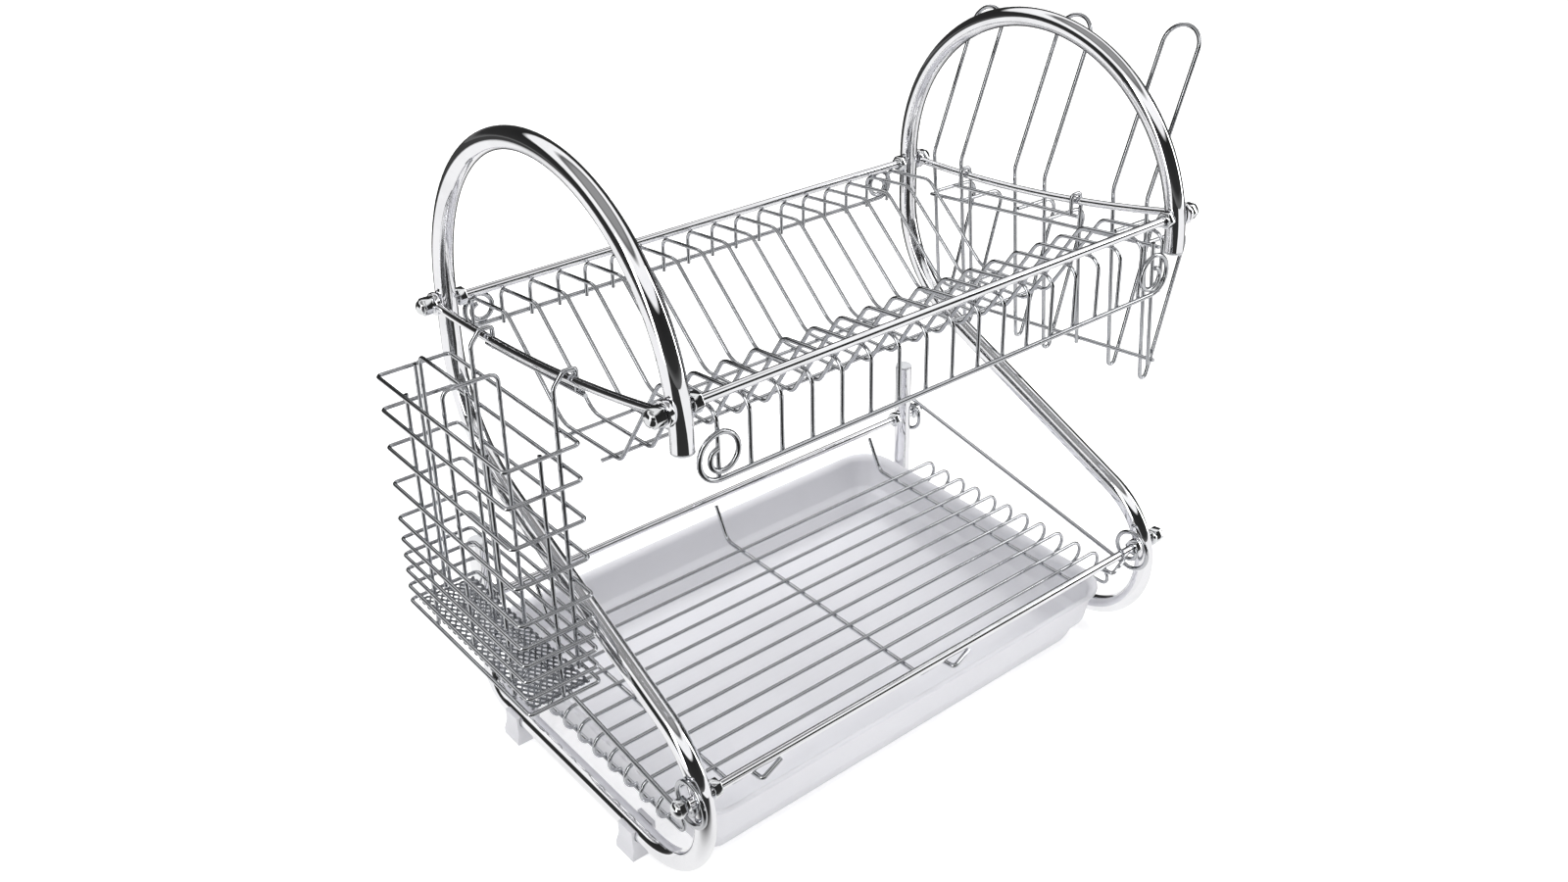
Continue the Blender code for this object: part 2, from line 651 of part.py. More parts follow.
def cup_frame():
    """Two bars, three uprights and two hooks over the right side rail."""
    behind = 2 * CUP_WIRE_R + GAP
    front, back = CUP_FRAME_Y
    front_end = front - 3 * MM
    levels = ((CUP_TOP_Z, back), (CUP_BOTTOM_Z, CUP_HOOKS_Y[1] + 3 * MM))
    bars = []
    for i, (level, back_end) in enumerate(levels):
        places = [(y, cup_bar_z(y, level)) for y in (front_end, back_end)]
        ends = [(cup_leg_x(z) - behind, y, z) for y, z in places]
        bars.append(wire(f"cup_bar_{i + 1}", ends, CUP_WIRE_R))
    low, high = (cup_bar_z(front, level) for level in (CUP_BOTTOM_Z, CUP_TOP_Z))
    pieces = [wire("cup_end_upright", cup_upright(front, low - 3 * MM, high + 3 * MM), CUP_WIRE_R)]
    inner_bar = []
    for i, (y, over) in enumerate(zip(CUP_HOOKS_Y, (-6 * MM, 6 * MM))):
        low, high = (cup_bar_z(y, level) for level in (CUP_BOTTOM_Z, CUP_TOP_Z))
        start, top = cup_upright(y, low - 3 * MM, high + 2 * MM)
        hook = hook_path(top[0], y, top[2])
        pieces.append(wire(f"cup_hook_{i + 1}", [start] + hook, CUP_WIRE_R))
        inner_bar.append((hook[-1].x, y + over, hook[-1].z + 0.5 * MM))
    pieces.append(wire("cup_inner_bar", inner_bar, CUP_WIRE_R))
    bars[0].name = "cup_holder_frame"
    return boolean(bars[0], bars[1:] + pieces, "UNION")


def cup_loop(name, y):
    """One wire: a return strand, a V foot and a leg up to the round top, mirrored to the other leg."""
    bar = cup_bar_z(y, CUP_TOP_Z)
    bend = bar + 31 * MM
    foot_z = bar - 112 * MM
    leg = [
        (cup_leg_x(bar) + 2 * CUP_WIRE_R + GAP, bar),
        (cup_leg_x(bar) + 45 * MM, bar - 1 * MM),
        (cup_leg_x(foot_z) + 1 * MM, foot_z - 4 * MM),
        (cup_leg_x(bend), bend),
        (CUP_LEG_X + 36 * MM, bend + 90 * MM),
    ]
    path = rounded([(x, 0, z) for x, z in leg], [9 * MM, 3.5 * MM, 12 * MM])
    lean = (path[-1] - path[-2]).normalized()
    first = [p + Vector((0, y - CUP_LOOP_R, 0)) for p in path]
    second = [p + Vector((0, y + CUP_LOOP_R, 0)) for p in path]
    middle = path[-1] + Vector((0, y, 0))
    crown = [
        middle + Vector((0, a, 0)) + lean * b for a, b in arc((0, 0), CUP_LOOP_R, 180, 0, 8)[1:-1]
    ]
    return wire(name, first + crown + second[::-1], CUP_WIRE_R)


# ---------------------------------------------------------------- drip tray


def drip_tray():
    """A flared tray with a stepped wall and a rolled rim, open at the top."""
    levels = (  # height, inset from the rim's edge
        (0, 30), (0, 24), (4, 18), (20, 12), (23, 7), (44, 3.5), (47, 0), (49, 0),
    )
    inner = ((49, 2), (47.5, 5), (45, 6), (24.5, 9.5), (22, 14.5), (5.5, 21), (2.5, 25), (2.5, 30))
    shape = bmesh.new()
    loops = []
    for z, inset in levels + inner:
        reach = inset * MM
        xs = (-TRAY_HALF_X + reach, TRAY_HALF_X - reach)
        ys = (TRAY_FRONT_Y + reach, TRAY_BACK_Y - reach)
        path = ring_path(xs, ys, z * MM, 26 * MM - 0.75 * reach, 4)
        loops.append([shape.verts.new(point) for point in path])
    for low, high in zip(loops, loops[1:]):
        count = len(low)
        for i in range(count):
            shape.faces.new((low[i], low[(i + 1) % count], high[(i + 1) % count], high[i]))
    shape.faces.new(loops[0][::-1])
    shape.faces.new(loops[-1])
    bmesh.ops.recalc_face_normals(shape, faces=shape.faces)
    mesh = bpy.data.meshes.new("drip_tray")
    shape.to_mesh(mesh)
    shape.free()
    return mesh_object("drip_tray", mesh, PARTS, CLEAR_PLASTIC)


# ---------------------------------------------------------------- assembly


def centre_on_counter():
    """Put the middle of the whole rack's footprint over the origin."""
    points = [vertex.co for obj in PARTS.objects for vertex in obj.data.vertices]
    low = [min(point[axis] for point in points) for axis in range(3)]
    high = [max(point[axis] for point in points) for axis in range(3)]
    shift = Matrix.Translation((-(low[0] + high[0]) / 2, -(low[1] + high[1]) / 2, -low[2]))
    for obj in [*PARTS.objects, *CUTTERS.objects]:
        obj.data.transform(shift)


def build():
    """Make every piece of the rack in its place."""
    for side, sign in SIDES.items():
        x = sign * HALF
        side_frame(side)
        tube_plug(f"front_plug_{side}", x, -ARCH_R, FRONT_END_Z, -1)
        tube_plug(f"rear_plug_{side}", x, BACK_Y, REAR_END_Z, 1)
        for place, y in zip(("front", "rear"), FOOT_Y):
            foot(f"foot_{place}_{side}", x, y)
        for name, bolt in BOLTS.items():
            hex_nut(f"nut_{name}_{side}", side, bolt)
            cap_nut(f"cap_nut_{name}_{side}", side, bolt)
        upper_side_rail(side)
    lower_guard("left", EYE_X)
    lower_guard("right", SPIRAL_X)
    spacer("washer_lower_front_right", "right", BOLTS["lower_front"])
    for name, bolt in BOLTS.items():
        rail(f"{name}_rail", bolt)
    upper_basket()
    lower_rack()
    cutlery_cage()
    cutlery_floor()
    middle_x, middle_y = sum(CUTLERY_X) / 2, sum(CUTLERY_Y) / 2
    low = CUTLERY_Z[0] + 1.2 * MM
    cutlery_divider(
        "cutlery_divider_long",
        (middle_x, middle_y + 6 * MM), (middle_x, CUTLERY_Y[1] - 9 * MM), low, 291 * MM,
    )
    reach = 5.5 * MM
    cutlery_divider(
        "cutlery_divider_cross",
        (CUTLERY_X[0] + reach, middle_y), (CUTLERY_X[1] - reach - 1 * MM, middle_y), low, 298 * MM,
    )
    cup_frame()
    for place, y in zip(("front", "middle", "back"), CUP_LOOPS_Y):
        cup_loop(f"cup_loop_{place}", y)
    drip_tray()
    centre_on_counter()


build()
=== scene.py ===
"""Looks of a two-tier dish drying rack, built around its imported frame.

The rack stands on a counter at z = 0. X runs along the rails, -Y is the front, and all
lengths are in metres.
"""

import logging
import math
from collections.abc import Callable, Sequence
from dataclasses import dataclass
from enum import Enum

import bpy
from mathutils import Matrix, Vector


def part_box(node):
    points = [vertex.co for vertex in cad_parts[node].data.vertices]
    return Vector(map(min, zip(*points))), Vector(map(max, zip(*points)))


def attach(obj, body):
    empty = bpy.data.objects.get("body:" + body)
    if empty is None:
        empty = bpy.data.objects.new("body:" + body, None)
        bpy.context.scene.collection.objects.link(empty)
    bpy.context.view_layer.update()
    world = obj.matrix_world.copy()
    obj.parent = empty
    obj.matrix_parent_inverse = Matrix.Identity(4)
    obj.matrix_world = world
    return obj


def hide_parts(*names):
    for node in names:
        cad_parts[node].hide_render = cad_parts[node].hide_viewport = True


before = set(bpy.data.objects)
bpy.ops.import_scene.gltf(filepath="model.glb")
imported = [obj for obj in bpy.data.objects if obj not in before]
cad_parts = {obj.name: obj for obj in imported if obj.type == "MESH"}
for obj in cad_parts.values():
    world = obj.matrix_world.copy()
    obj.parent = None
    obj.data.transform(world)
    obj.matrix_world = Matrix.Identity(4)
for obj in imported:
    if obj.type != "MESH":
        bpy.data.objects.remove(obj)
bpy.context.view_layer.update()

LOG = logging.getLogger("dish_rack")
MM = 0.001
GAP = 0.3 * MM
SIDES: dict[str, int] = {"left": -1, "right": 1}
# Each corner of a rounded rectangle: which end of X, which end of Y, and its arc's first angle.
CORNERS = ((1, 1, 0), (0, 1, 90), (0, 0, 180), (1, 0, 270))
Point = tuple[float, float, float]
Pair = tuple[float, float]
Piece = bpy.types.Object
Tree = bpy.types.NodeTree
Socket = bpy.types.NodeSocket


class Body(str, Enum):
    """The rigid bodies that the pieces ride on."""

    RACK = "rack"
    TRAY = "drip_tray"
    CUTLERY = "cutlery_basket"
    CUPS = "cup_holder"


# --------------- finishes


@dataclass(frozen=True)
class Finish:
    """A surface with a stained colour, an uneven gloss and a faint relief.

    A noise is its cells per metre and its octaves of finer noise. The relief's height is in
    metres. The defaults are moulded plastic with a fine pebbled skin.
    """

    name: str
    slot: str
    colour: Point
    roughness: Pair
    relief: Pair = (900.0, 2.0)
    height: float = 0.00002
    stains: Pair = (9.0, 4.0)
    stain_range: Pair = (0.0, 1.0)
    stain_shade: float = 0.94
    grain: Pair = (900.0, 2.0)
    grain_range: Pair = (0.3, 0.7)
    metallic: float = 0.0
    ior: float = 1.46
    transmission: float = 0.0

    def material(self) -> bpy.types.Material:
        """Make the node material.

        Returns:
            The finished material.
        """
        made = bpy.data.materials.new(self.name)
        made.use_nodes = True
        tree = made.node_tree
        stained = (*(c * self.stain_shade for c in self.colour), 1)
        stains = span(tree, noise(tree, self.stains), self.stain_range, (0.0, 1.0))
        tint = {"Fac": stains, "Color1": (*self.colour, 1), "Color2": stained}
        relief = {"Strength": 1.0, "Distance": self.height, "Height": noise(tree, self.relief)}
        inputs = {
            "Metallic": self.metallic,
            "IOR": self.ior,
            "Transmission Weight": self.transmission,
            "Base Color": node(tree, "ShaderNodeMixRGB", tint).outputs["Color"],
            "Roughness": span(tree, noise(tree, self.grain), self.grain_range, self.roughness),
            "Normal": node(tree, "ShaderNodeBump", relief).outputs["Normal"],
        }
        feed(tree, tree.nodes["Principled BSDF"], inputs)
        return made


@dataclass(frozen=True)
class ChromeFinish(Finish):
    """Polished plate over steel, with faint waves, fine polishing lines and water marks."""

    stains: Pair = (38.0, 5.0)
    stain_range: Pair = (0.45, 0.75)
    stain_shade: float = 0.90
    grain: Pair = (420.0, 3.0)
    metallic: float = 1.0
    ior: float = 1.5


def feed(tree: Tree, taker: bpy.types.Node, inputs: dict[str | int, object]) -> None:
    """Set or link a node's inputs.

    Args:
        tree: The nodes that it is one of.
        taker: The node.
        inputs: For each input, its constant or the socket that it is linked to.
    """
    for name, value in inputs.items():
        if isinstance(value, Socket):
            tree.links.new(value, taker.inputs[name])
        else:
            taker.inputs[name].default_value = value


def node(
    tree: Tree, kind: str, inputs: dict[str | int, object], **settings: str
) -> bpy.types.Node:
    """Add a node.

    Args:
        tree: The nodes to add to.
        kind: The node's type.
        inputs: For each input, its constant or the socket that it is linked to.
        settings: The node's own settings.

    Returns:
        The new node.
    """
    made = tree.nodes.new(kind)
    for name, value in settings.items():
        setattr(made, name, value)
    feed(tree, made, inputs)
    return made


def noise(tree: Tree, cells: Pair) -> Socket:
    """Add a noise texture in the object's own coordinates.

    Args:
        tree: The nodes to add to.
        cells: Its cells per metre and its octaves of finer noise.

    Returns:
        The noise value's socket.
    """
    place = tree.nodes.new("ShaderNodeTexCoord").outputs["Object"]
    inputs = {"Vector": place, "Scale": cells[0], "Detail": cells[1]}
    return node(tree, "ShaderNodeTexNoise", inputs).outputs["Fac"]


def span(tree: Tree, value: Socket, given: Pair, wanted: Pair) -> Socket:
    """Map a value from the given range to the wanted one, and clamp it there."""
    ends = zip(("From Min", "From Max", "To Min", "To Max"), (*given, *wanted))
    return node(tree, "ShaderNodeMapRange", {"Value": value, **dict(ends)}).outputs["Result"]


def bands(tree: Tree, value: Socket, stops: Sequence[Pair]) -> Socket:
    """Turn a value from 0 to 1 into greys.

    Args:
        tree: The nodes to add to.
        value: The socket to map.
        stops: Each stop's place and its grey.

    Returns:
        The colour's socket.
    """
    made = node(tree, "ShaderNodeValToRGB", {"Fac": value})
    elements = made.color_ramp.elements
    while len(elements) < len(stops):
        elements.new(0.5)
    for element, (position, grey) in zip(elements, stops):
        element.position = position
        element.color = (grey, grey, grey, 1)
    return made.outputs["Color"]


TUBE_CHROME = ChromeFinish(
    "tube_chrome", "chrome_plate", colour=(0.94, 0.94, 0.96), roughness=(0.02, 0.05),
    relief=(22.0, 2.0), height=0.00004,
)
WIRE_CHROME = ChromeFinish(
    "wire_chrome", "bright_wire", colour=(0.56, 0.57, 0.59), roughness=(0.05, 0.12),
    relief=(60.0, 2.0),
)
MESH_STEEL = ChromeFinish(
    "mesh_steel", "bright_wire", colour=(0.26, 0.27, 0.29), roughness=(0.12, 0.25),
    relief=(60.0, 2.0),
)
NUT_CHROME = ChromeFinish(
    "nut_chrome", "bright_nut", colour=(0.84, 0.85, 0.86), roughness=(0.04, 0.09),
    relief=(90.0, 2.0),
)
TRAY_PLASTIC = Finish(
    "tray_plastic", "frosted_plastic", colour=(0.75, 0.75, 0.785), roughness=(0.48, 0.6),
    transmission=0.12,
)
FOOT_PLASTIC = Finish(
    "foot_plastic", "white_plastic", colour=(0.66, 0.66, 0.69), roughness=(0.35, 0.5)
)
PLUG_PLASTIC = Finish(
    "plug_plastic", "chrome_plate", colour=(0.60, 0.61, 0.63), roughness=(0.30, 0.42)
)


class Paintbox:
    """Keeps one material for each finish."""

    def __init__(self) -> None:
        """Start with no materials."""
        self.made: dict[str, bpy.types.Material] = {}

    def dress(self, piece: Piece, finish: Finish) -> None:
        """Give a piece its material.

        Args:
            piece: The mesh to dress.
            finish: The finish that it takes.
        """
        if finish.name not in self.made:
            self.made[finish.name] = finish.material()
        piece.data.materials.clear()
        piece.data.materials.append(self.made[finish.name])


PAINT = Paintbox()


# --------------- paths


def arc(centre: Pair, radius: float, start: float, end: float, step: float = 6.0) -> list[Pair]:
    """Points along a plane arc.

    Args:
        centre: The arc's centre.
        radius: Its radius.
        start: The first angle in degrees.
        end: The last angle in degrees.
        step: The most degrees between two points.

    Returns:
        The points as pairs.
    """
    count = max(2, math.ceil(abs(end - start) / step))
    angles = (math.radians(start + (end - start) * i / count) for i in range(count + 1))
    return [(centre[0] + radius * math.cos(a), centre[1] + radius * math.sin(a)) for a in angles]


def rounded(
    corners: Sequence[Sequence[float]], radii: Sequence[float], step: float = 10.0
) -> list[Vector]:
    """A polyline whose inner corners are bent to the given radii.

    Args:
        corners: The corner points.
        radii: One bend radius for each inner corner.
        step: The most degrees between two points of a bend.

    Returns:
        The points of the bent line.
    """
    places = [Vector(corner) for corner in corners]
    path = [places[0]]
    for before, corner, after, radius in zip(places, places[1:], places[2:], radii):
        inward, outward = (before - corner).normalized(), (after - corner).normalized()
        half = inward.angle(outward) / 2
        reach = radius / math.tan(half)
        middle = corner + (inward + outward).normalized() * radius / math.sin(half)
        first = (corner + inward * reach - middle).normalized()
        last = (corner + outward * reach - middle).normalized()
        count = max(2, math.ceil((180 - math.degrees(2 * half)) / step))
        path += [middle + first.slerp(last, i / count) * radius for i in range(count + 1)]
    return path + [places[-1]]


def spiral(centre: Pair, radii: Pair, start: float, turns: float, count: int = 44) -> list[Pair]:
    """Points of a curl that keeps its outer radius for a third of its length, then winds in.

    Args:
        centre: The curl's centre.
        radii: The outer and the inner radius.
        start: The first angle in degrees.
        turns: Turns, negative for clockwise.
        count: How many pieces the curl is cut into.

    Returns:
        The points as pairs.
    """
    points = []
    for i in range(count + 1):
        share = i / count
        radius = radii[0] + (radii[1] - radii[0]) * max(0.0, (share - 0.35) / 0.65)
        angle = math.radians(start + 360 * turns * share)
        points.append((centre[0] + radius * math.cos(angle), centre[1] + radius * math.sin(angle)))
    return points


# --------------- modelling


def pick(*pieces: Piece) -> None:
    """Select only these objects and make the first one active.

    Args:
        pieces: The objects.
    """
    bpy.ops.object.select_all(action="DESELECT")
    for piece in pieces:
        piece.select_set(True)
    bpy.context.view_layer.objects.active = pieces[0]


def added(operator: Callable[..., set[str]], **options: object) -> Piece:
    """Add a primitive mesh.

    Args:
        operator: The function that adds it.
        options: What the function takes.

    Returns:
        The new object.
    """
    bpy.ops.object.select_all(action="DESELECT")
    operator(**options)
    return bpy.context.view_layer.objects.active


def modified(piece: Piece, kind: str, **settings: object) -> Piece:
    """Add a modifier to a mesh and apply it.

    Args:
        piece: The mesh.
        kind: The modifier's type.
        settings: The modifier's own settings.

    Returns:
        The same object.
    """
    pick(piece)
    step = piece.modifiers.new("step", kind)
    for name, value in settings.items():
        setattr(step, name, value)
    bpy.ops.object.modifier_apply(modifier=step.name)
    return piece


def mended(piece: Piece, smooth: float = 40.0) -> Piece:
    """Merge a mesh's doubles, turn its faces outwards and smooth its round parts.

    Args:
        piece: The mesh to mend.
        smooth: Edges flatter than this many degrees are smoothed.

    Returns:
        The same object.
    """
    pick(piece)
    bpy.ops.object.mode_set(mode="EDIT")
    bpy.ops.mesh.select_all(action="SELECT")
    bpy.ops.mesh.remove_doubles(threshold=1e-6)
    bpy.ops.mesh.normals_make_consistent(inside=False)
    bpy.ops.object.mode_set(mode="OBJECT")
    bpy.ops.object.shade_smooth_by_angle(angle=math.radians(smooth))
    return piece


def wire(
    name: str,
    points: Sequence[Sequence[float]],
    radius: float,
    closed: bool = False,
    facets: int = 12,
) -> Piece:
    """A round wire or tube along the points, as a mesh.

    Args:
        name: The object's name.
        points: The centre line.
        radius: The wire's radius.
        closed: Whether the last point joins the first.
        facets: Faces round the wire, an even number.

    Returns:
        The mesh object.
    """
    curve = bpy.data.curves.new(name, "CURVE")
    curve.dimensions = "3D"
    curve.bevel_depth = radius
    curve.bevel_resolution = facets // 2 - 2
    curve.use_fill_caps = not closed
    spline = curve.splines.new("POLY")
    spline.points.add(len(points) - 1)
    for place, point in zip(spline.points, points):
        place.co = (*point, 1)
    spline.use_cyclic_u = closed
    made = bpy.data.objects.new(name, curve)
    bpy.context.scene.collection.objects.link(made)
    pick(made)
    bpy.ops.object.convert(target="MESH")
    return mended(bpy.context.view_layer.objects.active)


def copied(piece: Piece, move: Sequence[float]) -> Piece:
    """A copy with its own mesh, moved.

    Args:
        piece: The mesh to copy.
        move: How far the copy lies from it.

    Returns:
        The copy.
    """
    twin = piece.copy()
    twin.data = piece.data.copy()
    twin.data.transform(Matrix.Translation(move))
    bpy.context.scene.collection.objects.link(twin)
    return twin


def joined(name: str, pieces: Sequence[Piece]) -> Piece:
    """Join pieces into one object.

    Args:
        name: The joined object's name.
        pieces: The meshes to join.

    Returns:
        The joined object.
    """
    pick(*pieces)
    if len(pieces) > 1:
        bpy.ops.object.join()
    made = bpy.context.view_layer.objects.active
    made.name = name
    made.data.name = name
    return made


def settle(piece: Piece) -> Piece:
    """Apply an object's place, turn and size to its mesh.

    Args:
        piece: The object.

    Returns:
        The same object.
    """
    pick(piece)
    bpy.ops.object.transform_apply(location=True, rotation=True, scale=True)
    return piece


def bevelled(
    piece: Piece, width: float, segments: int = 2, angle: float = 30.0
) -> Piece:
    """Round a mesh's sharp edges with an applied Bevel modifier.

    Args:
        piece: The mesh.
        width: The bevel's width.
        segments: Faces across the bevel.
        angle: Edges sharper than this many degrees are rounded.

    Returns:
        The same object.
    """
    return modified(
        piece, "BEVEL", width=width, segments=segments, limit_method="ANGLE",
        angle_limit=math.radians(angle),
    )


def cut(piece: Piece, cutter: Piece) -> Piece:
    """Cut one closed mesh from another and remove the cutter.

    Args:
        piece: The mesh to cut.
        cutter: The shape to take away.

    Returns:
        The cut mesh.
    """
    modified(piece, "BOOLEAN", operation="DIFFERENCE", solver="EXACT", object=cutter)
    bpy.data.objects.remove(cutter, do_unlink=True)
    return piece


def prism(
    name: str, centre: Sequence[float], axis: str, radius: float, length: float, sides: int = 48
) -> Piece:
    """A cylinder or prism along an axis.

    Args:
        name: The object's name.
        centre: Its centre.
        axis: "X", "Y" or "Z".
        radius: The radius to its corners.
        length: Its length.
        sides: Its number of sides.

    Returns:
        The mesh object.
    """
    turns = {"X": (0, math.pi / 2, 0), "Y": (math.pi / 2, 0, 0), "Z": (0, 0, 0)}
    made = added(
        bpy.ops.mesh.primitive_cylinder_add, vertices=sides, radius=radius, depth=length,
        location=tuple(centre), rotation=turns[axis],
    )
    made.name = name
    return settle(made)


def placed(
    piece: Piece, finish: Finish, body: Body, *nodes: str
) -> Piece:
    """Dress a piece, set it on its body and let it stand for its CAD nodes.

    Args:
        piece: The finished mesh.
        finish: Its finish.
        body: The body that it rides on.
        nodes: The CAD nodes that it stands for.

    Returns:
        The same object.
    """
    PAINT.dress(piece, finish)
    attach(piece, body.value)
    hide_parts(*nodes)
    LOG.info("%s: %d faces on %s", piece.name, len(piece.data.polygons), body.value)
    return piece


# --------------- layout


@dataclass(frozen=True)
class Layout:
    """Where the rack's middle plane and bolts are, and the sizes that several pieces share."""

    middle_x: float
    middle_y: float
    span: float = 375 * MM
    tube: float = 6.25 * MM
    arch: float = 118 * MM
    arch_z: float = 308 * MM
    nose: float = 55 * MM
    nose_y: float = -66.5 * MM
    nose_z: float = 71 * MM
    rod: float = 2.75 * MM
    wire: float = 1.25 * MM
    guard: float = 1.5 * MM
    hook: float = 1.4 * MM
    side_rod: float = 2.5 * MM
    upper_front_z: float = 325 * MM
    upper_back_z: float = 301 * MM
    lower_z: float = 88 * MM
    sag: float = 7 * MM

    @property
    def half(self) -> float:
        """Half the distance between the side frames."""
        return self.span / 2

    @property
    def eye_x(self) -> float:
        """The middle of what sits between a tube and its cap nut."""
        return self.half + self.tube + GAP + 1.5 * MM

    @property
    def cap_x(self) -> float:
        """The inner face of a cap nut."""
        return self.eye_x + 1.5 * MM + GAP

    @property
    def nut_x(self) -> float:
        """The inner face of a hex nut."""
        return self.half - self.tube - GAP - 5 * MM

    @property
    def bolts(self) -> dict[str, Pair]:
        """Each bolt's y and z."""
        upper = -math.sqrt(self.arch**2 - (self.upper_front_z - self.arch_z) ** 2)
        lower = self.nose_y - math.sqrt(self.nose**2 - (self.lower_z - self.nose_z) ** 2)
        return {
            "upper_front": (upper, self.upper_front_z),
            "upper_back": (self.arch, self.upper_back_z),
            "lower_front": (lower, self.lower_z),
            "lower_back": (self.arch, self.lower_z),
        }

    def rail_z(self, y: float) -> float:
        """Height of a sagging side rail.

        Args:
            y: The place from front to back.

        Returns:
            The rail's middle height there.
        """
        front = self.bolts["upper_front"][0]
        share = (y - front) / (self.arch - front)
        line = self.upper_front_z + (self.upper_back_z - self.upper_front_z) * share
        return line - self.sag * 4 * share * (1 - share)

    def at(self, points: Sequence[Sequence[float]]) -> list[Vector]:
        """Move points from the rack's own middle to the row frame."""
        return [Vector((p[0] + self.middle_x, p[1] + self.middle_y, p[2])) for p in points]

    def spot(self, x: float, y: float, z: float) -> Vector:
        """One point moved to the row frame."""
        return self.at([(x, y, z)])[0]


def read_layout() -> Layout:
    """Find the rack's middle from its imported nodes.

    Returns:
        The shared layout.
    """
    left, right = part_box("side_frame_left"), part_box("side_frame_right")
    front_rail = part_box("lower_front_rail")
    made = Layout((left[0].x + right[1].x) / 2, 0.0)
    rail_y = (front_rail[0].y + front_rail[1].y) / 2
    return Layout((left[0].x + right[1].x) / 2, rail_y - made.bolts["lower_front"][0])


# --------------- side frames


@dataclass
class SideFrames:
    """The two bent tubes, their end plugs and the clip-on feet."""

    layout: Layout
    front_end_z: float = 303 * MM
    shoulder: float = 92 * MM
    slope: float = math.radians(24.5)
    runner_z: float = 16 * MM
    heel: float = 24 * MM
    rear_end_z: float = 132 * MM
    foot_y: Pair = (-50 * MM, 82 * MM)
    foot_pad: Point = (19.6 * MM, 17.6 * MM, 4 * MM)
    foot_steps: tuple[Point, ...] = ((4, 0.88, 0.95), (4, 0.97, 0.86), (8, 1.0, 1.0))
    plug_cap: float = 1.2 * MM
    plug_stem: float = 7 * MM
    wall: float = 1.7 * MM

    def outline(self) -> list[Pair]:
        """The tube's centre line as (y, z), from its front end to its rear end.

        Returns:
            The points as pairs.
        """
        at = self.layout
        middle = Vector((at.nose_y, at.nose_z))
        down = Vector((-math.cos(self.slope), -math.sin(self.slope)))
        touch = middle + at.nose * Vector((-math.sin(self.slope), math.cos(self.slope)))
        corner = touch - down * ((touch.x - at.arch) / down.x)
        over = [(-at.arch, self.front_end_z)] + arc((0, at.arch_z), at.arch, 180, 0, 3)
        bend = rounded([(at.arch, at.arch_z, 0), (*corner, 0), (*touch, 0)], [self.shoulder], 3)
        nose = arc((at.nose_y, at.nose_z), at.nose, 90 + math.degrees(self.slope), 270, 4)
        heel_corners = [
            (at.nose_y, self.runner_z, 0),
            (at.arch, self.runner_z, 0),
            (at.arch, self.rear_end_z, 0),
        ]
        heel = rounded(heel_corners, [self.heel], 6)
        return over + [(p.x, p.y) for p in bend[1:-1]] + nose + [(p.x, p.y) for p in heel[1:]]

    def tube(self, side: str) -> None:
        """Bend one side's tube.

        Args:
            side: "left" or "right".
        """
        x = SIDES[side] * self.layout.half
        line = self.layout.at([(x, y, z) for y, z in self.outline()])
        made = wire(f"bent_tube_{side}", line, self.layout.tube, facets=40)
        placed(bevelled(made, 0.5 * MM, 2, 60), TUBE_CHROME, Body.RACK, f"side_frame_{side}")

    def plug(self, side: str, end: str) -> None:
        """Make one end plug with a low dome.

        Args:
            side: "left" or "right".
            end: "front" or "rear".
        """
        x = SIDES[side] * self.layout.half
        y, z, facing = {
            "front": (-self.layout.arch, self.front_end_z, -1),
            "rear": (self.layout.arch, self.rear_end_z, 1),
        }[end]
        centre = self.layout.spot(x, y, z + facing * (GAP + 0.6 * MM))
        cap = prism(f"end_plug_{end}_{side}", centre, "Z", self.layout.tube, self.plug_cap)
        cap = bevelled(cap, 0.45 * MM, 3)
        stem_at = self.layout.spot(x, y, z - facing * 2.7 * MM)
        stem = prism("stem", stem_at, "Z", self.layout.tube - self.wall, self.plug_stem, 32)
        made = mended(joined(f"end_plug_{end}_{side}", [cap, stem]))
        placed(made, PLUG_PLASTIC, Body.RACK, f"{end}_plug_{side}")

    def foot(self, side: str, place: str, y: float) -> None:
        """Make one foot: a flared pad and a saddle that grips the runner.

        Args:
            side: "left" or "right".
            place: "front" or "rear".
            y: The foot's middle.
        """
        x = SIDES[side] * self.layout.half
        middle = self.layout.spot(x, y, self.foot_pad[2] / 2)
        block = added(bpy.ops.mesh.primitive_cube_add, size=1, location=middle)
        block.scale = self.foot_pad
        settle(block)
        for rise, wide, deep in self.foot_steps:
            self.raise_top(block, rise * MM, wide, deep)
        axis_at = self.layout.spot(x, y, self.runner_z)
        cut(block, prism("groove", axis_at, "Y", self.layout.tube + GAP, 60 * MM))
        made = mended(bevelled(block, 0.7 * MM, 3, 35), 35)
        made.name = f"clip_foot_{place}_{side}"
        placed(made, FOOT_PLASTIC, Body.RACK, f"foot_{place}_{side}")

    @staticmethod
    def raise_top(block: Piece, rise: float, wide: float, deep: float) -> None:
        """Extrude a block's top face upwards and scale it.

        Args:
            block: The mesh.
            rise: How far the face rises.
            wide: Scale along X.
            deep: Scale along Y.
        """
        pick(block)
        top = max(vertex.co.z for vertex in block.data.vertices)
        bpy.ops.object.mode_set(mode="EDIT")
        bpy.ops.mesh.select_all(action="DESELECT")
        bpy.ops.object.mode_set(mode="OBJECT")
        for face in block.data.polygons:
            face.select = all(block.data.vertices[i].co.z > top - 1e-6 for i in face.vertices)
        bpy.ops.object.mode_set(mode="EDIT")
        bpy.ops.mesh.extrude_region_move(TRANSFORM_OT_translate={"value": (0, 0, rise)})
        bpy.ops.transform.resize(value=(wide, deep, 1))
        bpy.ops.object.mode_set(mode="OBJECT")

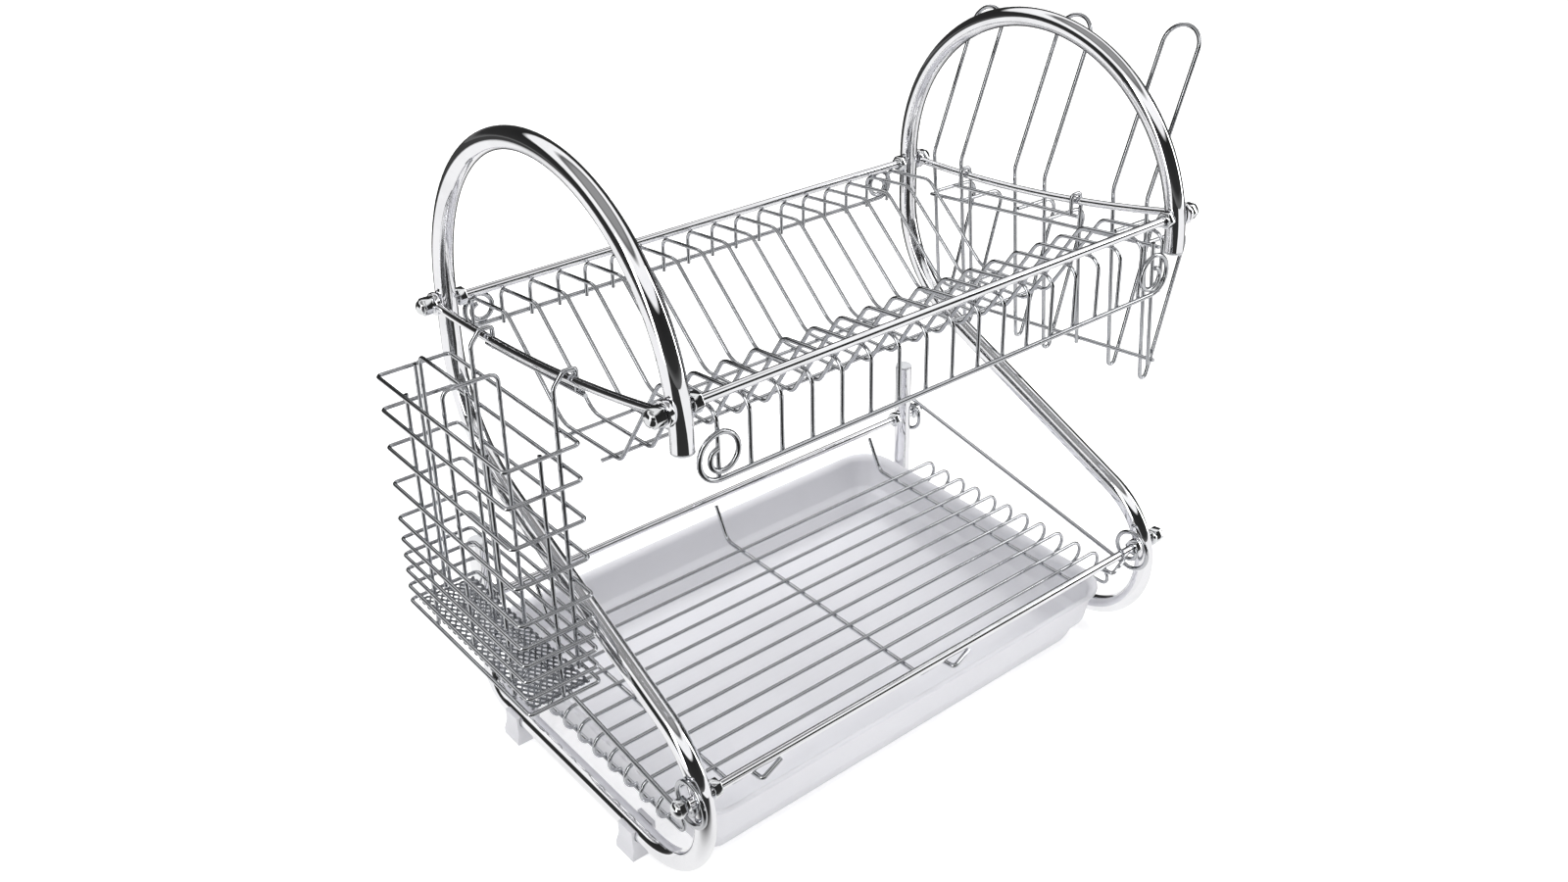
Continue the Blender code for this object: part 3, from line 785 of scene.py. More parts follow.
    def build(self) -> None:
        """Make both sides."""
        for side in SIDES:
            self.tube(side)
            for end in ("front", "rear"):
                self.plug(side, end)
            for place, y in zip(("front", "rear"), self.foot_y):
                self.foot(side, place, y)


# --------------- rails and nuts


@dataclass
class Fasteners:
    """The straight rails, the sagging side rails, the nuts and the washers."""

    layout: Layout
    flats: float = 10 * MM
    length: float = 5 * MM
    cap_length: float = 6.6 * MM
    dome_share: float = 0.72
    eye: float = 7 * MM
    eye_length: float = 3 * MM
    chamfer: float = 0.55 * MM
    bore_length: float = 20 * MM

    def rail(self, name: str) -> None:
        """One straight rail from cap nut to cap nut.

        Args:
            name: The bolt's name.
        """
        y, z = self.layout.bolts[name]
        end = self.layout.cap_x + self.length - 0.5 * MM
        line = self.layout.at([(-end, y, z), (end, y, z)])
        made = wire(f"rail_{name}", line, self.layout.rod, facets=28)
        placed(made, TUBE_CHROME, Body.RACK, f"{name}_rail")

    def hexagon(self, name: str, centre: Vector, length: float) -> Piece:
        """A hexagonal prism along X with chamfered corners."""
        made = prism(name, centre, "X", self.flats / math.sqrt(3), length, 6)
        return bevelled(made, self.chamfer)

    def bored(self, piece: Piece, centre: Vector) -> Piece:
        """Cut the rod's hole along X through a piece and smooth its round parts."""
        bore = prism("bore", centre, "X", self.layout.rod + GAP, self.bore_length, 28)
        return mended(cut(piece, bore), 25)

    def nut(self, name: str, side: str) -> None:
        """One plain nut inside a tube.

        Args:
            name: The bolt's name.
            side: "left" or "right".
        """
        y, z = self.layout.bolts[name]
        centre = self.layout.spot(SIDES[side] * (self.layout.nut_x + self.length / 2), y, z)
        body = self.hexagon(f"hex_nut_{name}_{side}", centre, self.length)
        placed(self.bored(body, centre), NUT_CHROME, Body.RACK, f"nut_{name}_{side}")

    def cap_nut(self, name: str, side: str) -> None:
        """One domed nut outside a tube.

        Args:
            name: The bolt's name.
            side: "left" or "right".
        """
        sign = SIDES[side]
        y, z = self.layout.bolts[name]
        middle = self.layout.spot(sign * (self.layout.cap_x + self.cap_length / 2), y, z)
        body = self.hexagon("hexagon", middle, self.cap_length)
        base = self.layout.spot(sign * (self.layout.cap_x + self.cap_length - 0.4 * MM), y, z)
        dome = added(
            bpy.ops.mesh.primitive_uv_sphere_add, segments=32, ring_count=24,
            radius=self.flats / 2 - 0.3 * MM, location=base, rotation=(0, math.pi / 2, 0),
        )
        dome.scale.z = self.dome_share
        settle(dome)
        pick(dome)
        bpy.ops.object.mode_set(mode="EDIT")
        bpy.ops.mesh.select_all(action="SELECT")
        bpy.ops.mesh.bisect(plane_co=base, plane_no=(sign, 0, 0), use_fill=True, clear_inner=True)
        bpy.ops.object.mode_set(mode="OBJECT")
        made = mended(joined(f"domed_nut_{name}_{side}", [body, dome]), 25)
        placed(made, NUT_CHROME, Body.RACK, f"cap_nut_{name}_{side}")

    def washer(self, side: str) -> None:
        """One washer on the lower front bolt.

        Args:
            side: "left" or "right".
        """
        y, z = self.layout.bolts["lower_front"]
        centre = self.layout.spot(SIDES[side] * self.layout.eye_x, y, z)
        outer = self.eye - 1.5 * MM
        disc = prism(f"flat_washer_{side}", centre, "X", outer, self.eye_length, 40)
        ring = self.bored(bevelled(disc, 0.5 * MM), centre)
        placed(ring, NUT_CHROME, Body.RACK, f"washer_lower_front_{side}")

    def side_rail(self, side: str) -> None:
        """One sagging rod with a pressed eye at each end.

        Args:
            side: "left" or "right".
        """
        x = SIDES[side] * self.layout.eye_x
        bolts = [self.layout.bolts[name] for name in ("upper_front", "upper_back")]
        inset = self.eye - 0.8 * MM
        low, high = bolts[0][0] + inset, bolts[1][0] - inset
        count = 40
        places = [low + (high - low) * i / count for i in range(count + 1)]
        line = self.layout.at([(x, y, self.layout.rail_z(y)) for y in places])
        rod = wire("rod", line, self.layout.side_rod, facets=24)
        eyes = []
        for y, z in bolts:
            centre = self.layout.spot(x, y, z)
            disc = prism("eye", centre, "X", self.eye, self.eye_length, 40)
            eyes.append(self.bored(bevelled(disc, 0.7 * MM, 3), centre))
        made = joined(f"side_rail_{side}", [rod, *eyes])
        placed(made, TUBE_CHROME, Body.RACK, f"upper_side_rail_{side}")

    def build(self) -> None:
        """Make every rail and fastener."""
        for name in self.layout.bolts:
            self.rail(name)
            for side in SIDES:
                self.nut(name, side)
                self.cap_nut(name, side)
        self.washer("right")
        for side in SIDES:
            self.side_rail(side)


# --------------- upper basket


@dataclass
class PlateBasket:
    """The upper basket: bent ribs on two curled guard wires and two trough wires."""

    layout: Layout
    ribs: int = 18
    pitch: float = 20 * MM
    back_dip: Pair = (24 * MM, 251 * MM)
    front_dip: Pair = (-34 * MM, 253 * MM)
    trough_wires: Pair = (14 * MM, -24 * MM)
    front_guard_z: float = 283 * MM
    back_guard_z: float = 276 * MM
    front_reach: Pair = (170 * MM, 160 * MM)
    back_reach: Pair = (164 * MM, 164 * MM)
    front_curl: Pair = (13 * MM, 4.5 * MM)
    back_curl: Pair = (10 * MM, 4 * MM)
    turns: float = 1.45
    weld: float = 0.5 * MM

    def outline(self) -> list[Pair]:
        """One rib's centre line as (y, z), from the back guard to the front guard.

        Returns:
            The points as pairs.
        """
        at = self.layout
        under = at.rod + GAP + at.wire
        back, front = at.arch + 4 * MM, at.bolts["upper_front"][0] - 5.7 * MM
        corners = [
            (back, self.back_guard_z - 2.5 * MM, 0),
            (back, at.upper_back_z - under, 0),
            (79 * MM, at.upper_back_z, 0),
            (*self.back_dip, 0),
            (*self.front_dip, 0),
            (-75 * MM, 315.5 * MM, 0),
            (front, at.upper_front_z - under, 0),
            (front, self.front_guard_z - 1.5 * MM, 0),
        ]
        radii = [7 * MM, 10 * MM, 16 * MM, 8 * MM, 9 * MM, 8 * MM]
        return [(p.x, p.y) for p in rounded(corners, radii, 9)]

    def guard_wire(self, y: float, z: float, reach: Pair, curl: Pair) -> Piece:
        """A wire along X whose ends curl up into a spiral.

        Args:
            y: The wire's place from front to back.
            z: Its height.
            reach: How far from the middle its left and right curls start.
            curl: The curls' outer and inner radius.

        Returns:
            The mesh object.
        """
        left, right = (spiral((start, z + curl[0]), curl, -90, self.turns) for start in reach)
        points = [(-px, y, pz) for px, pz in reversed(left)] + [(px, y, pz) for px, pz in right]
        return wire("guard", self.layout.at(points), self.layout.guard)

    def build(self) -> None:
        """Bend one rib, copy it along the rack and add the long wires."""
        at = self.layout
        line = self.outline()
        first = -self.pitch * (self.ribs - 1) / 2
        rib = wire("rib", at.at([(first, y, z) for y, z in line]), at.wire)
        pieces = [rib] + [copied(rib, (self.pitch * i, 0, 0)) for i in range(1, self.ribs)]
        reach = at.wire + at.guard - self.weld
        front, back = line[-1][0] - reach, line[0][0] + reach
        pieces.append(self.guard_wire(front, self.front_guard_z, self.front_reach, self.front_curl))
        pieces.append(self.guard_wire(back, self.back_guard_z, self.back_reach, self.back_curl))
        for y in self.trough_wires:
            share = (y - self.back_dip[0]) / (self.front_dip[0] - self.back_dip[0])
            rib_z = self.back_dip[1] + (self.front_dip[1] - self.back_dip[1]) * share
            z = rib_z - 2 * at.wire + self.weld
            ends = [(sx * (-first + 6 * MM), y, z) for sx in (-1, 1)]
            pieces.append(wire("trough", at.at(ends), at.wire))
        placed(joined("plate_ribs", pieces), WIRE_CHROME, Body.RACK, "upper_basket")


# --------------- lower rack


@dataclass
class BowlRack:
    """The lower rack: slats with turned-down ends, cross wires, tie wires and guard wires."""

    layout: Layout
    slats: int = 11
    pitch: float = 16.5 * MM
    back_y: float = 85 * MM
    slat_z: float = 60.4 * MM
    half: float = 183 * MM
    end_radius: float = 8.2 * MM
    cross_x: tuple[float, ...] = (-150 * MM, 0.0, 150 * MM)
    curl: Pair = (14 * MM, 4.9 * MM)
    turns: float = 1.25
    weld: float = 0.5 * MM

    def slat(self) -> Piece:
        """The rearmost slat.

        Returns:
            The mesh object.
        """
        bend = arc((self.half, self.slat_z - self.end_radius), self.end_radius, 90, -90, 10)
        right = [(self.half - 20 * MM, self.slat_z)] + bend
        y = self.back_y
        points = [(-px, y, pz) for px, pz in reversed(right)] + [(px, y, pz) for px, pz in right]
        return wire("slat", self.layout.at(points), self.layout.wire)

    def cross_wire(self, x: float) -> Piece:
        """A wire under the slats that rises to both rails and ends in a lug.

        Args:
            x: The wire's place along the rack.

        Returns:
            The mesh object.
        """
        at = self.layout
        low = self.slat_z - at.wire - at.guard + self.weld
        under = at.lower_z - at.rod - GAP - at.guard
        front = at.bolts["lower_front"][0]
        corners = [
            (x, at.arch - 2 * MM, under - 1 * MM),
            (x, 103 * MM, low),
            (x, -95 * MM, low),
            (x, front + 5 * MM, under - 3 * MM),
            (x, front - 6 * MM, under - 1.5 * MM),
            (x + 17 * MM, front - 1 * MM, under - 0.3 * MM),
        ]
        bent = rounded(corners, [8 * MM, 8 * MM, 6 * MM, 2 * MM], 12)
        return wire("cross", at.at(bent), at.guard)

    def tie(self, sign: int) -> Piece:
        """The wire that ties one side's slat ends and turns up at the front.

        Args:
            sign: -1 for the left side, 1 for the right.

        Returns:
            The mesh object.
        """
        front = self.back_y - self.pitch * (self.slats - 1)
        z = self.slat_z - 2 * self.end_radius - 2 * self.layout.wire + self.weld
        x = sign * (self.half + 1 * MM)
        corners = [
            (x, self.back_y + 5 * MM, z),
            (x, front - 18 * MM, z),
            (x, front - 12 * MM, z + 14 * MM),
        ]
        return wire("tie", self.layout.at(rounded(corners, [5 * MM])), self.layout.wire)

    def guard(self, side: str, front_x: float) -> None:
        """A wire from a curl round the back bolt to a curl round the front bolt.

        Args:
            side: "left" or "right".
            front_x: How far from the middle the front curl lies.
        """
        at, sign = self.layout, SIDES[side]
        back = spiral(at.bolts["lower_back"], self.curl, 90, -self.turns)
        front = spiral(at.bolts["lower_front"], self.curl, 270, -self.turns)
        points = [(sign * at.eye_x, y, z) for y, z in reversed(back)]
        points += [(sign * front_x, y, z) for y, z in front]
        made = wire(f"curled_guard_{side}", at.at(points), at.guard)
        placed(made, WIRE_CHROME, Body.RACK, f"lower_guard_{side}")

    def build(self) -> None:
        """Make the rack and both guard wires."""
        slat = self.slat()
        pieces = [slat] + [copied(slat, (0, -self.pitch * i, 0)) for i in range(1, self.slats)]
        pieces += [self.cross_wire(x) for x in self.cross_x]
        pieces += [self.tie(sign) for sign in SIDES.values()]
        placed(joined("bowl_slats", pieces), WIRE_CHROME, Body.RACK, "lower_rack")
        self.guard("left", self.layout.eye_x)
        self.guard("right", self.layout.nut_x - GAP - self.layout.guard)


# --------------- hanging pieces


def hook_line(layout: Layout, side_x: float, y: float, low_z: float) -> list[Vector]:
    """A wire up the outside, over the side rail and a little way down behind it.

    Args:
        layout: The shared layout.
        side_x: Where the wire stands, in the rack's own frame.
        y: Its place from front to back.
        low_z: Where it starts.

    Returns:
        The centre line in the rack's own frame.
    """
    sign = -1 if side_x < 0 else 1
    rail = layout.rail_z(y)
    behind = sign * (layout.eye_x - layout.side_rod - 2.2 * MM)
    corners = [
        (side_x, y, low_z),
        (side_x, y, rail - 3 * MM),
        (sign * (layout.eye_x + 3 * MM), y, rail + 4.9 * MM),
        (behind, y, rail + 4.5 * MM),
        (behind, y, rail - 9 * MM),
    ]
    return rounded(corners, [6 * MM, 2.5 * MM, 2 * MM])


@dataclass
class CutleryBasket:
    """The wire basket on the left side rail, with its mesh floor and two dividers."""

    layout: Layout
    x: Pair = (-248 * MM, -203 * MM)
    y: Pair = (-49 * MM, 90 * MM)
    z: Pair = (131 * MM, 282 * MM)
    ring_shares: tuple[float, ...] = (0, 0.07, 0.145, 0.215, 0.29, 0.385, 0.54, 0.70, 0.86, 1)
    hooks_y: Pair = (-30 * MM, 58 * MM)
    weld: float = 0.5 * MM
    mesh_cells: int = 54
    mesh_stretch: Point = (0.72, 1.15, 1)
    mesh_spread: float = 1.6
    strand: float = 0.5 * MM
    strand_height: float = 0.9 * MM
    rim_inset: float = 1.0 * MM
    rim_radius: float = 0.6 * MM

    def ring(self, z: float) -> Piece:
        """One rounded rectangle of wire.

        Args:
            z: Its height.

        Returns:
            The mesh object.
        """
        radius = 3 * MM
        points = []
        for ix, iy, start in CORNERS:
            centre = (
                self.x[ix] + (radius if ix == 0 else -radius),
                self.y[iy] + (radius if iy == 0 else -radius),
            )
            points += [(px, py, z) for px, py in arc(centre, radius, start, start + 90, 15)]
        return wire("ring", self.layout.at(points), self.layout.wire, closed=True)

    def cage(self) -> None:
        """Weld the rings, the uprights, the hooks and the bar behind the rail."""
        low, high = self.z
        wires = self.layout.wire
        pieces = [self.ring(low + (high - low) * share) for share in self.ring_shares]
        inner = self.x[1] - 2 * wires + self.weld
        outer = self.x[0] + 2 * wires - self.weld
        bar = []
        for y, over in zip(self.hooks_y, (-8 * MM, 8 * MM)):
            line = hook_line(self.layout, inner, y, low - 1 * MM)
            pieces.append(wire("hook", self.layout.at(line), self.layout.hook))
            upright = [(outer, y, low - 1 * MM), (outer, y, high + 1 * MM)]
            pieces.append(wire("upright", self.layout.at(upright), wires))
            bar.append((line[-1].x, y + over, line[-1].z + 0.5 * MM))
        middle = sum(self.x) / 2
        for y, inward in zip(self.y, (1, -1)):
            end_y = y + inward * (2 * wires - self.weld)
            upright = [(middle, end_y, low - 1 * MM), (middle, end_y, high + 1 * MM)]
            pieces.append(wire("upright", self.layout.at(upright), wires))
        pieces.append(wire("bar", self.layout.at(bar), self.layout.hook))
        placed(joined("cutlery_wires", pieces), WIRE_CHROME, Body.CUTLERY, "cutlery_cage")

    def floor(self) -> None:
        """Cut a slanted grid of strands to the basket's floor and thicken it."""
        low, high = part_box("cutlery_floor")
        middle = (low + high) / 2
        size = high - low
        sheet = added(
            bpy.ops.mesh.primitive_grid_add, x_subdivisions=self.mesh_cells,
            y_subdivisions=self.mesh_cells, size=max(size) * self.mesh_spread,
            location=(0, 0, 0), rotation=(0, 0, math.pi / 4),
        )
        settle(sheet)
        sheet.scale = self.mesh_stretch
        sheet.location = middle
        settle(sheet)
        bpy.ops.object.mode_set(mode="EDIT")
        bpy.ops.mesh.select_all(action="SELECT")
        bpy.ops.mesh.inset(use_individual=True, thickness=self.strand)
        bpy.ops.mesh.delete(type="FACE")
        for normal in ((1, 0, 0), (-1, 0, 0), (0, 1, 0), (0, -1, 0)):
            edge = middle + Vector(n * s / 2 for n, s in zip(normal, size))
            bpy.ops.mesh.select_all(action="SELECT")
            bpy.ops.mesh.bisect(plane_co=edge, plane_no=normal, clear_outer=True)
        bpy.ops.object.mode_set(mode="OBJECT")
        modified(sheet, "SOLIDIFY", thickness=self.strand_height, offset=0)
        reach = size / 2 - Vector((self.rim_inset, self.rim_inset, 0))
        turns = ((1, 1), (-1, 1), (-1, -1), (1, -1))
        rim = [middle + Vector((sx * reach.x, sy * reach.y, 0)) for sx, sy in turns]
        frame_wire = wire("rim", rim, self.rim_radius, closed=True, facets=8)
        made = joined("mesh_floor", [sheet, frame_wire])
        placed(mended(made, 30), MESH_STEEL, Body.CUTLERY, "cutlery_floor")

    def divider(self, name: str, start: Pair, end: Pair, high: float) -> None:
        """One inverted U of wire.

        Args:
            name: The divider's name.
            start: Its first foot's x and y.
            end: Its second foot's x and y.
            high: Its top.
        """
        low = self.z[0] + 1.2 * MM
        corners = [(*start, low), (*start, high), (*end, high), (*end, low)]
        line = self.layout.at(rounded(corners, [5 * MM, 5 * MM]))
        made = wire(f"bent_divider_{name}", line, self.layout.wire)
        placed(made, WIRE_CHROME, Body.CUTLERY, f"cutlery_divider_{name}")

    def build(self) -> None:
        """Make the basket."""
        self.cage()
        self.floor()
        middle_x, middle_y = sum(self.x) / 2, sum(self.y) / 2
        ends = (middle_x, middle_y + 6 * MM), (middle_x, self.y[1] - 9 * MM)
        self.divider("long", *ends, 291 * MM)
        reach = 5.5 * MM
        ends = (self.x[0] + reach, middle_y), (self.x[1] - reach - 1 * MM, middle_y)
        self.divider("cross", *ends, 298 * MM)


@dataclass
class CupHolder:
    """The wire frame on the right side rail and its three tall loops."""

    layout: Layout
    hooks_y: Pair = (-33 * MM, 68 * MM)
    frame_y: Pair = (-94 * MM, 110 * MM)
    top_z: float = 283 * MM
    bottom_z: float = 200 * MM
    leg_x: float = 204 * MM
    loops_y: tuple[float, ...] = (-70 * MM, 16 * MM, 95 * MM)
    loop_radius: float = 13.5 * MM
    lean: float = 0.08
    upright_z: float = 313 * MM
    bend_rise: float = 31 * MM
    foot_drop: float = 112 * MM
    foot_reach: float = 45 * MM
    top_reach: float = 36 * MM
    top_rise: float = 90 * MM
    weld: float = 0.5 * MM

    def leg(self, z: float) -> float:
        """Where the legs stand at height z: they lean out towards the bottom."""
        return self.leg_x + (self.upright_z - z) * self.lean

    def bar_z(self, y: float, level: float) -> float:
        """A bar's height: the bars run parallel to the side rail.

        Args:
            y: The place from front to back.
            level: The bar's height beside the middle loop.

        Returns:
            The height at y.
        """
        at = self.layout
        fall = (at.upper_front_z - at.upper_back_z) / (at.arch - at.bolts["upper_front"][0])
        return level + fall * (self.loops_y[1] - y)

    def holder(self) -> None:
        """Weld the bars, the uprights, the hooks and the bar behind the rail."""
        hook = self.layout.hook
        front, back = self.frame_y
        pieces = []
        for level, back_end in ((self.top_z, back), (self.bottom_z, self.hooks_y[1] + 3 * MM)):
            places = [(y, self.bar_z(y, level)) for y in (front - 3 * MM, back_end)]
            ends = [(self.leg(z) - 2 * hook - GAP, y, z) for y, z in places]
            pieces.append(wire("bar", self.layout.at(ends), hook))
        inward = 4 * hook + GAP - self.weld
        low, high = (self.bar_z(front, level) for level in (self.bottom_z, self.top_z))
        ends = [(self.leg(z) - inward, front, z) for z in (low - 3 * MM, high + 3 * MM)]
        pieces.append(wire("upright", self.layout.at(ends), hook))
        behind = []
        for y, over in zip(self.hooks_y, (-6 * MM, 6 * MM)):
            low, high = (self.bar_z(y, level) for level in (self.bottom_z, self.top_z))
            start = (self.leg(low - 3 * MM) - inward, y, low - 3 * MM)
            line = hook_line(self.layout, self.leg(high + 2 * MM) - inward, y, high + 2 * MM)
            pieces.append(wire("hook", self.layout.at([start, *line]), hook))
            behind.append((line[-1].x, y + over, line[-1].z + 0.5 * MM))
        pieces.append(wire("behind", self.layout.at(behind), hook))
        placed(joined("holder_wires", pieces), WIRE_CHROME, Body.CUPS, "cup_holder_frame")

    def loop(self, place: str, y: float) -> None:
        """One loop: return strands, V feet, slanted legs and a round top.

        Args:
            place: "front", "middle" or "back".
            y: The loop's middle.
        """
        bar = self.bar_z(y, self.top_z)
        bend, foot = bar + self.bend_rise, bar - self.foot_drop
        corners = [
            (self.leg(bar) + 2 * self.layout.hook + GAP, 0, bar),
            (self.leg(bar) + self.foot_reach, 0, bar - 1 * MM),
            (self.leg(foot) + 1 * MM, 0, foot - 4 * MM),
            (self.leg(bend), 0, bend),
            (self.leg_x + self.top_reach, 0, bend + self.top_rise),
        ]
        path = rounded(corners, [9 * MM, 3.5 * MM, 12 * MM], 12)
        lean = (path[-1] - path[-2]).normalized()
        radius = self.loop_radius
        first = [p + Vector((0, y - radius, 0)) for p in path]
        second = [p + Vector((0, y + radius, 0)) for p in path]
        top = path[-1] + Vector((0, y, 0))
        half_turn = arc((0, 0), radius, 180, 0, 8)[1:-1]
        crown = [top + Vector((0, a, 0)) + lean * b for a, b in half_turn]
        line = self.layout.at(first + crown + second[::-1])
        made = wire(f"tall_loop_{place}", line, self.layout.hook)
        placed(made, WIRE_CHROME, Body.CUPS, f"cup_loop_{place}")

    def build(self) -> None:
        """Make the holder and its loops."""
        self.holder()
        for place, y in zip(("front", "middle", "back"), self.loops_y):
            self.loop(place, y)


# --------------- drip tray


@dataclass
class DripTray:
    """The flared tray: a rounded foot, a stepped wall and a rolled rim.

    Its levels are heights and insets from the rim's edge, in millimetres.
    """

    corner: float = 26 * MM
    corner_share: float = 0.75
    facets: int = 10
    outside: tuple[Pair, ...] = (
        (0, 27), (0.5, 24), (2, 20.8), (4.5, 18.4), (9, 16), (18, 12.8), (20, 11.6), (22, 8.4),
        (24, 7), (43, 3.6), (45, 2.6), (46.4, 0.8), (47.4, 0), (48.4, 0.1), (49, 0.9),
    )
    inside: tuple[Pair, ...] = (
        (49, 1.8), (48.2, 3.2), (46.4, 5), (44, 5.9), (25, 9.4), (23.5, 10.2), (21.5, 13.2),
        (19.5, 14.4), (10, 18), (6, 20.6), (3.5, 23.6), (2.6, 28),
    )

    def ring(self, low: Vector, high: Vector, level: Pair) -> list[Vector]:
        """Points of a rounded rectangle inside the tray's outline.

        Args:
            low: The tray's lowest corner.
            high: The tray's highest corner.
            level: The height and the inset from the tray's sides, in millimetres.

        Returns:
            The points in order.
        """
        z, inset = level[0] * MM, level[1] * MM
        radius = self.corner - self.corner_share * inset
        margin = inset + radius
        points = []
        for ix, iy, start in CORNERS:
            x = high.x - margin if ix else low.x + margin
            y = high.y - margin if iy else low.y + margin
            bend = arc((x, y), radius, start, start + 90, 90 / self.facets)
            points += [Vector((px, py, low.z + z)) for px, py in bend]
        return points

    def build(self) -> None:
        """Extrude a rounded rectangle level by level, up the outside and down the inside."""
        low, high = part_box("drip_tray")
        first, *rings = [self.ring(low, high, level) for level in self.outside + self.inside]
        shell = added(
            bpy.ops.mesh.primitive_circle_add, vertices=len(first), radius=1, location=(0, 0, 0)
        )
        for vertex, point in zip(shell.data.vertices, first):
            vertex.co = point
        bpy.ops.object.mode_set(mode="EDIT")
        bpy.ops.mesh.select_all(action="SELECT")
        bpy.ops.mesh.edge_face_add()
        for points in rings:
            bpy.ops.object.mode_set(mode="EDIT")
            bpy.ops.mesh.extrude_region_move(TRANSFORM_OT_translate={"value": (0, 0, 0)})
            bpy.ops.object.mode_set(mode="OBJECT")
            fresh = [v for v in shell.data.vertices if v.select]
            for vertex, point in zip(fresh, points):
                vertex.co = point
        placed(mended(shell, 30), TRAY_PLASTIC, Body.TRAY, "drip_tray")


# --------------- studio


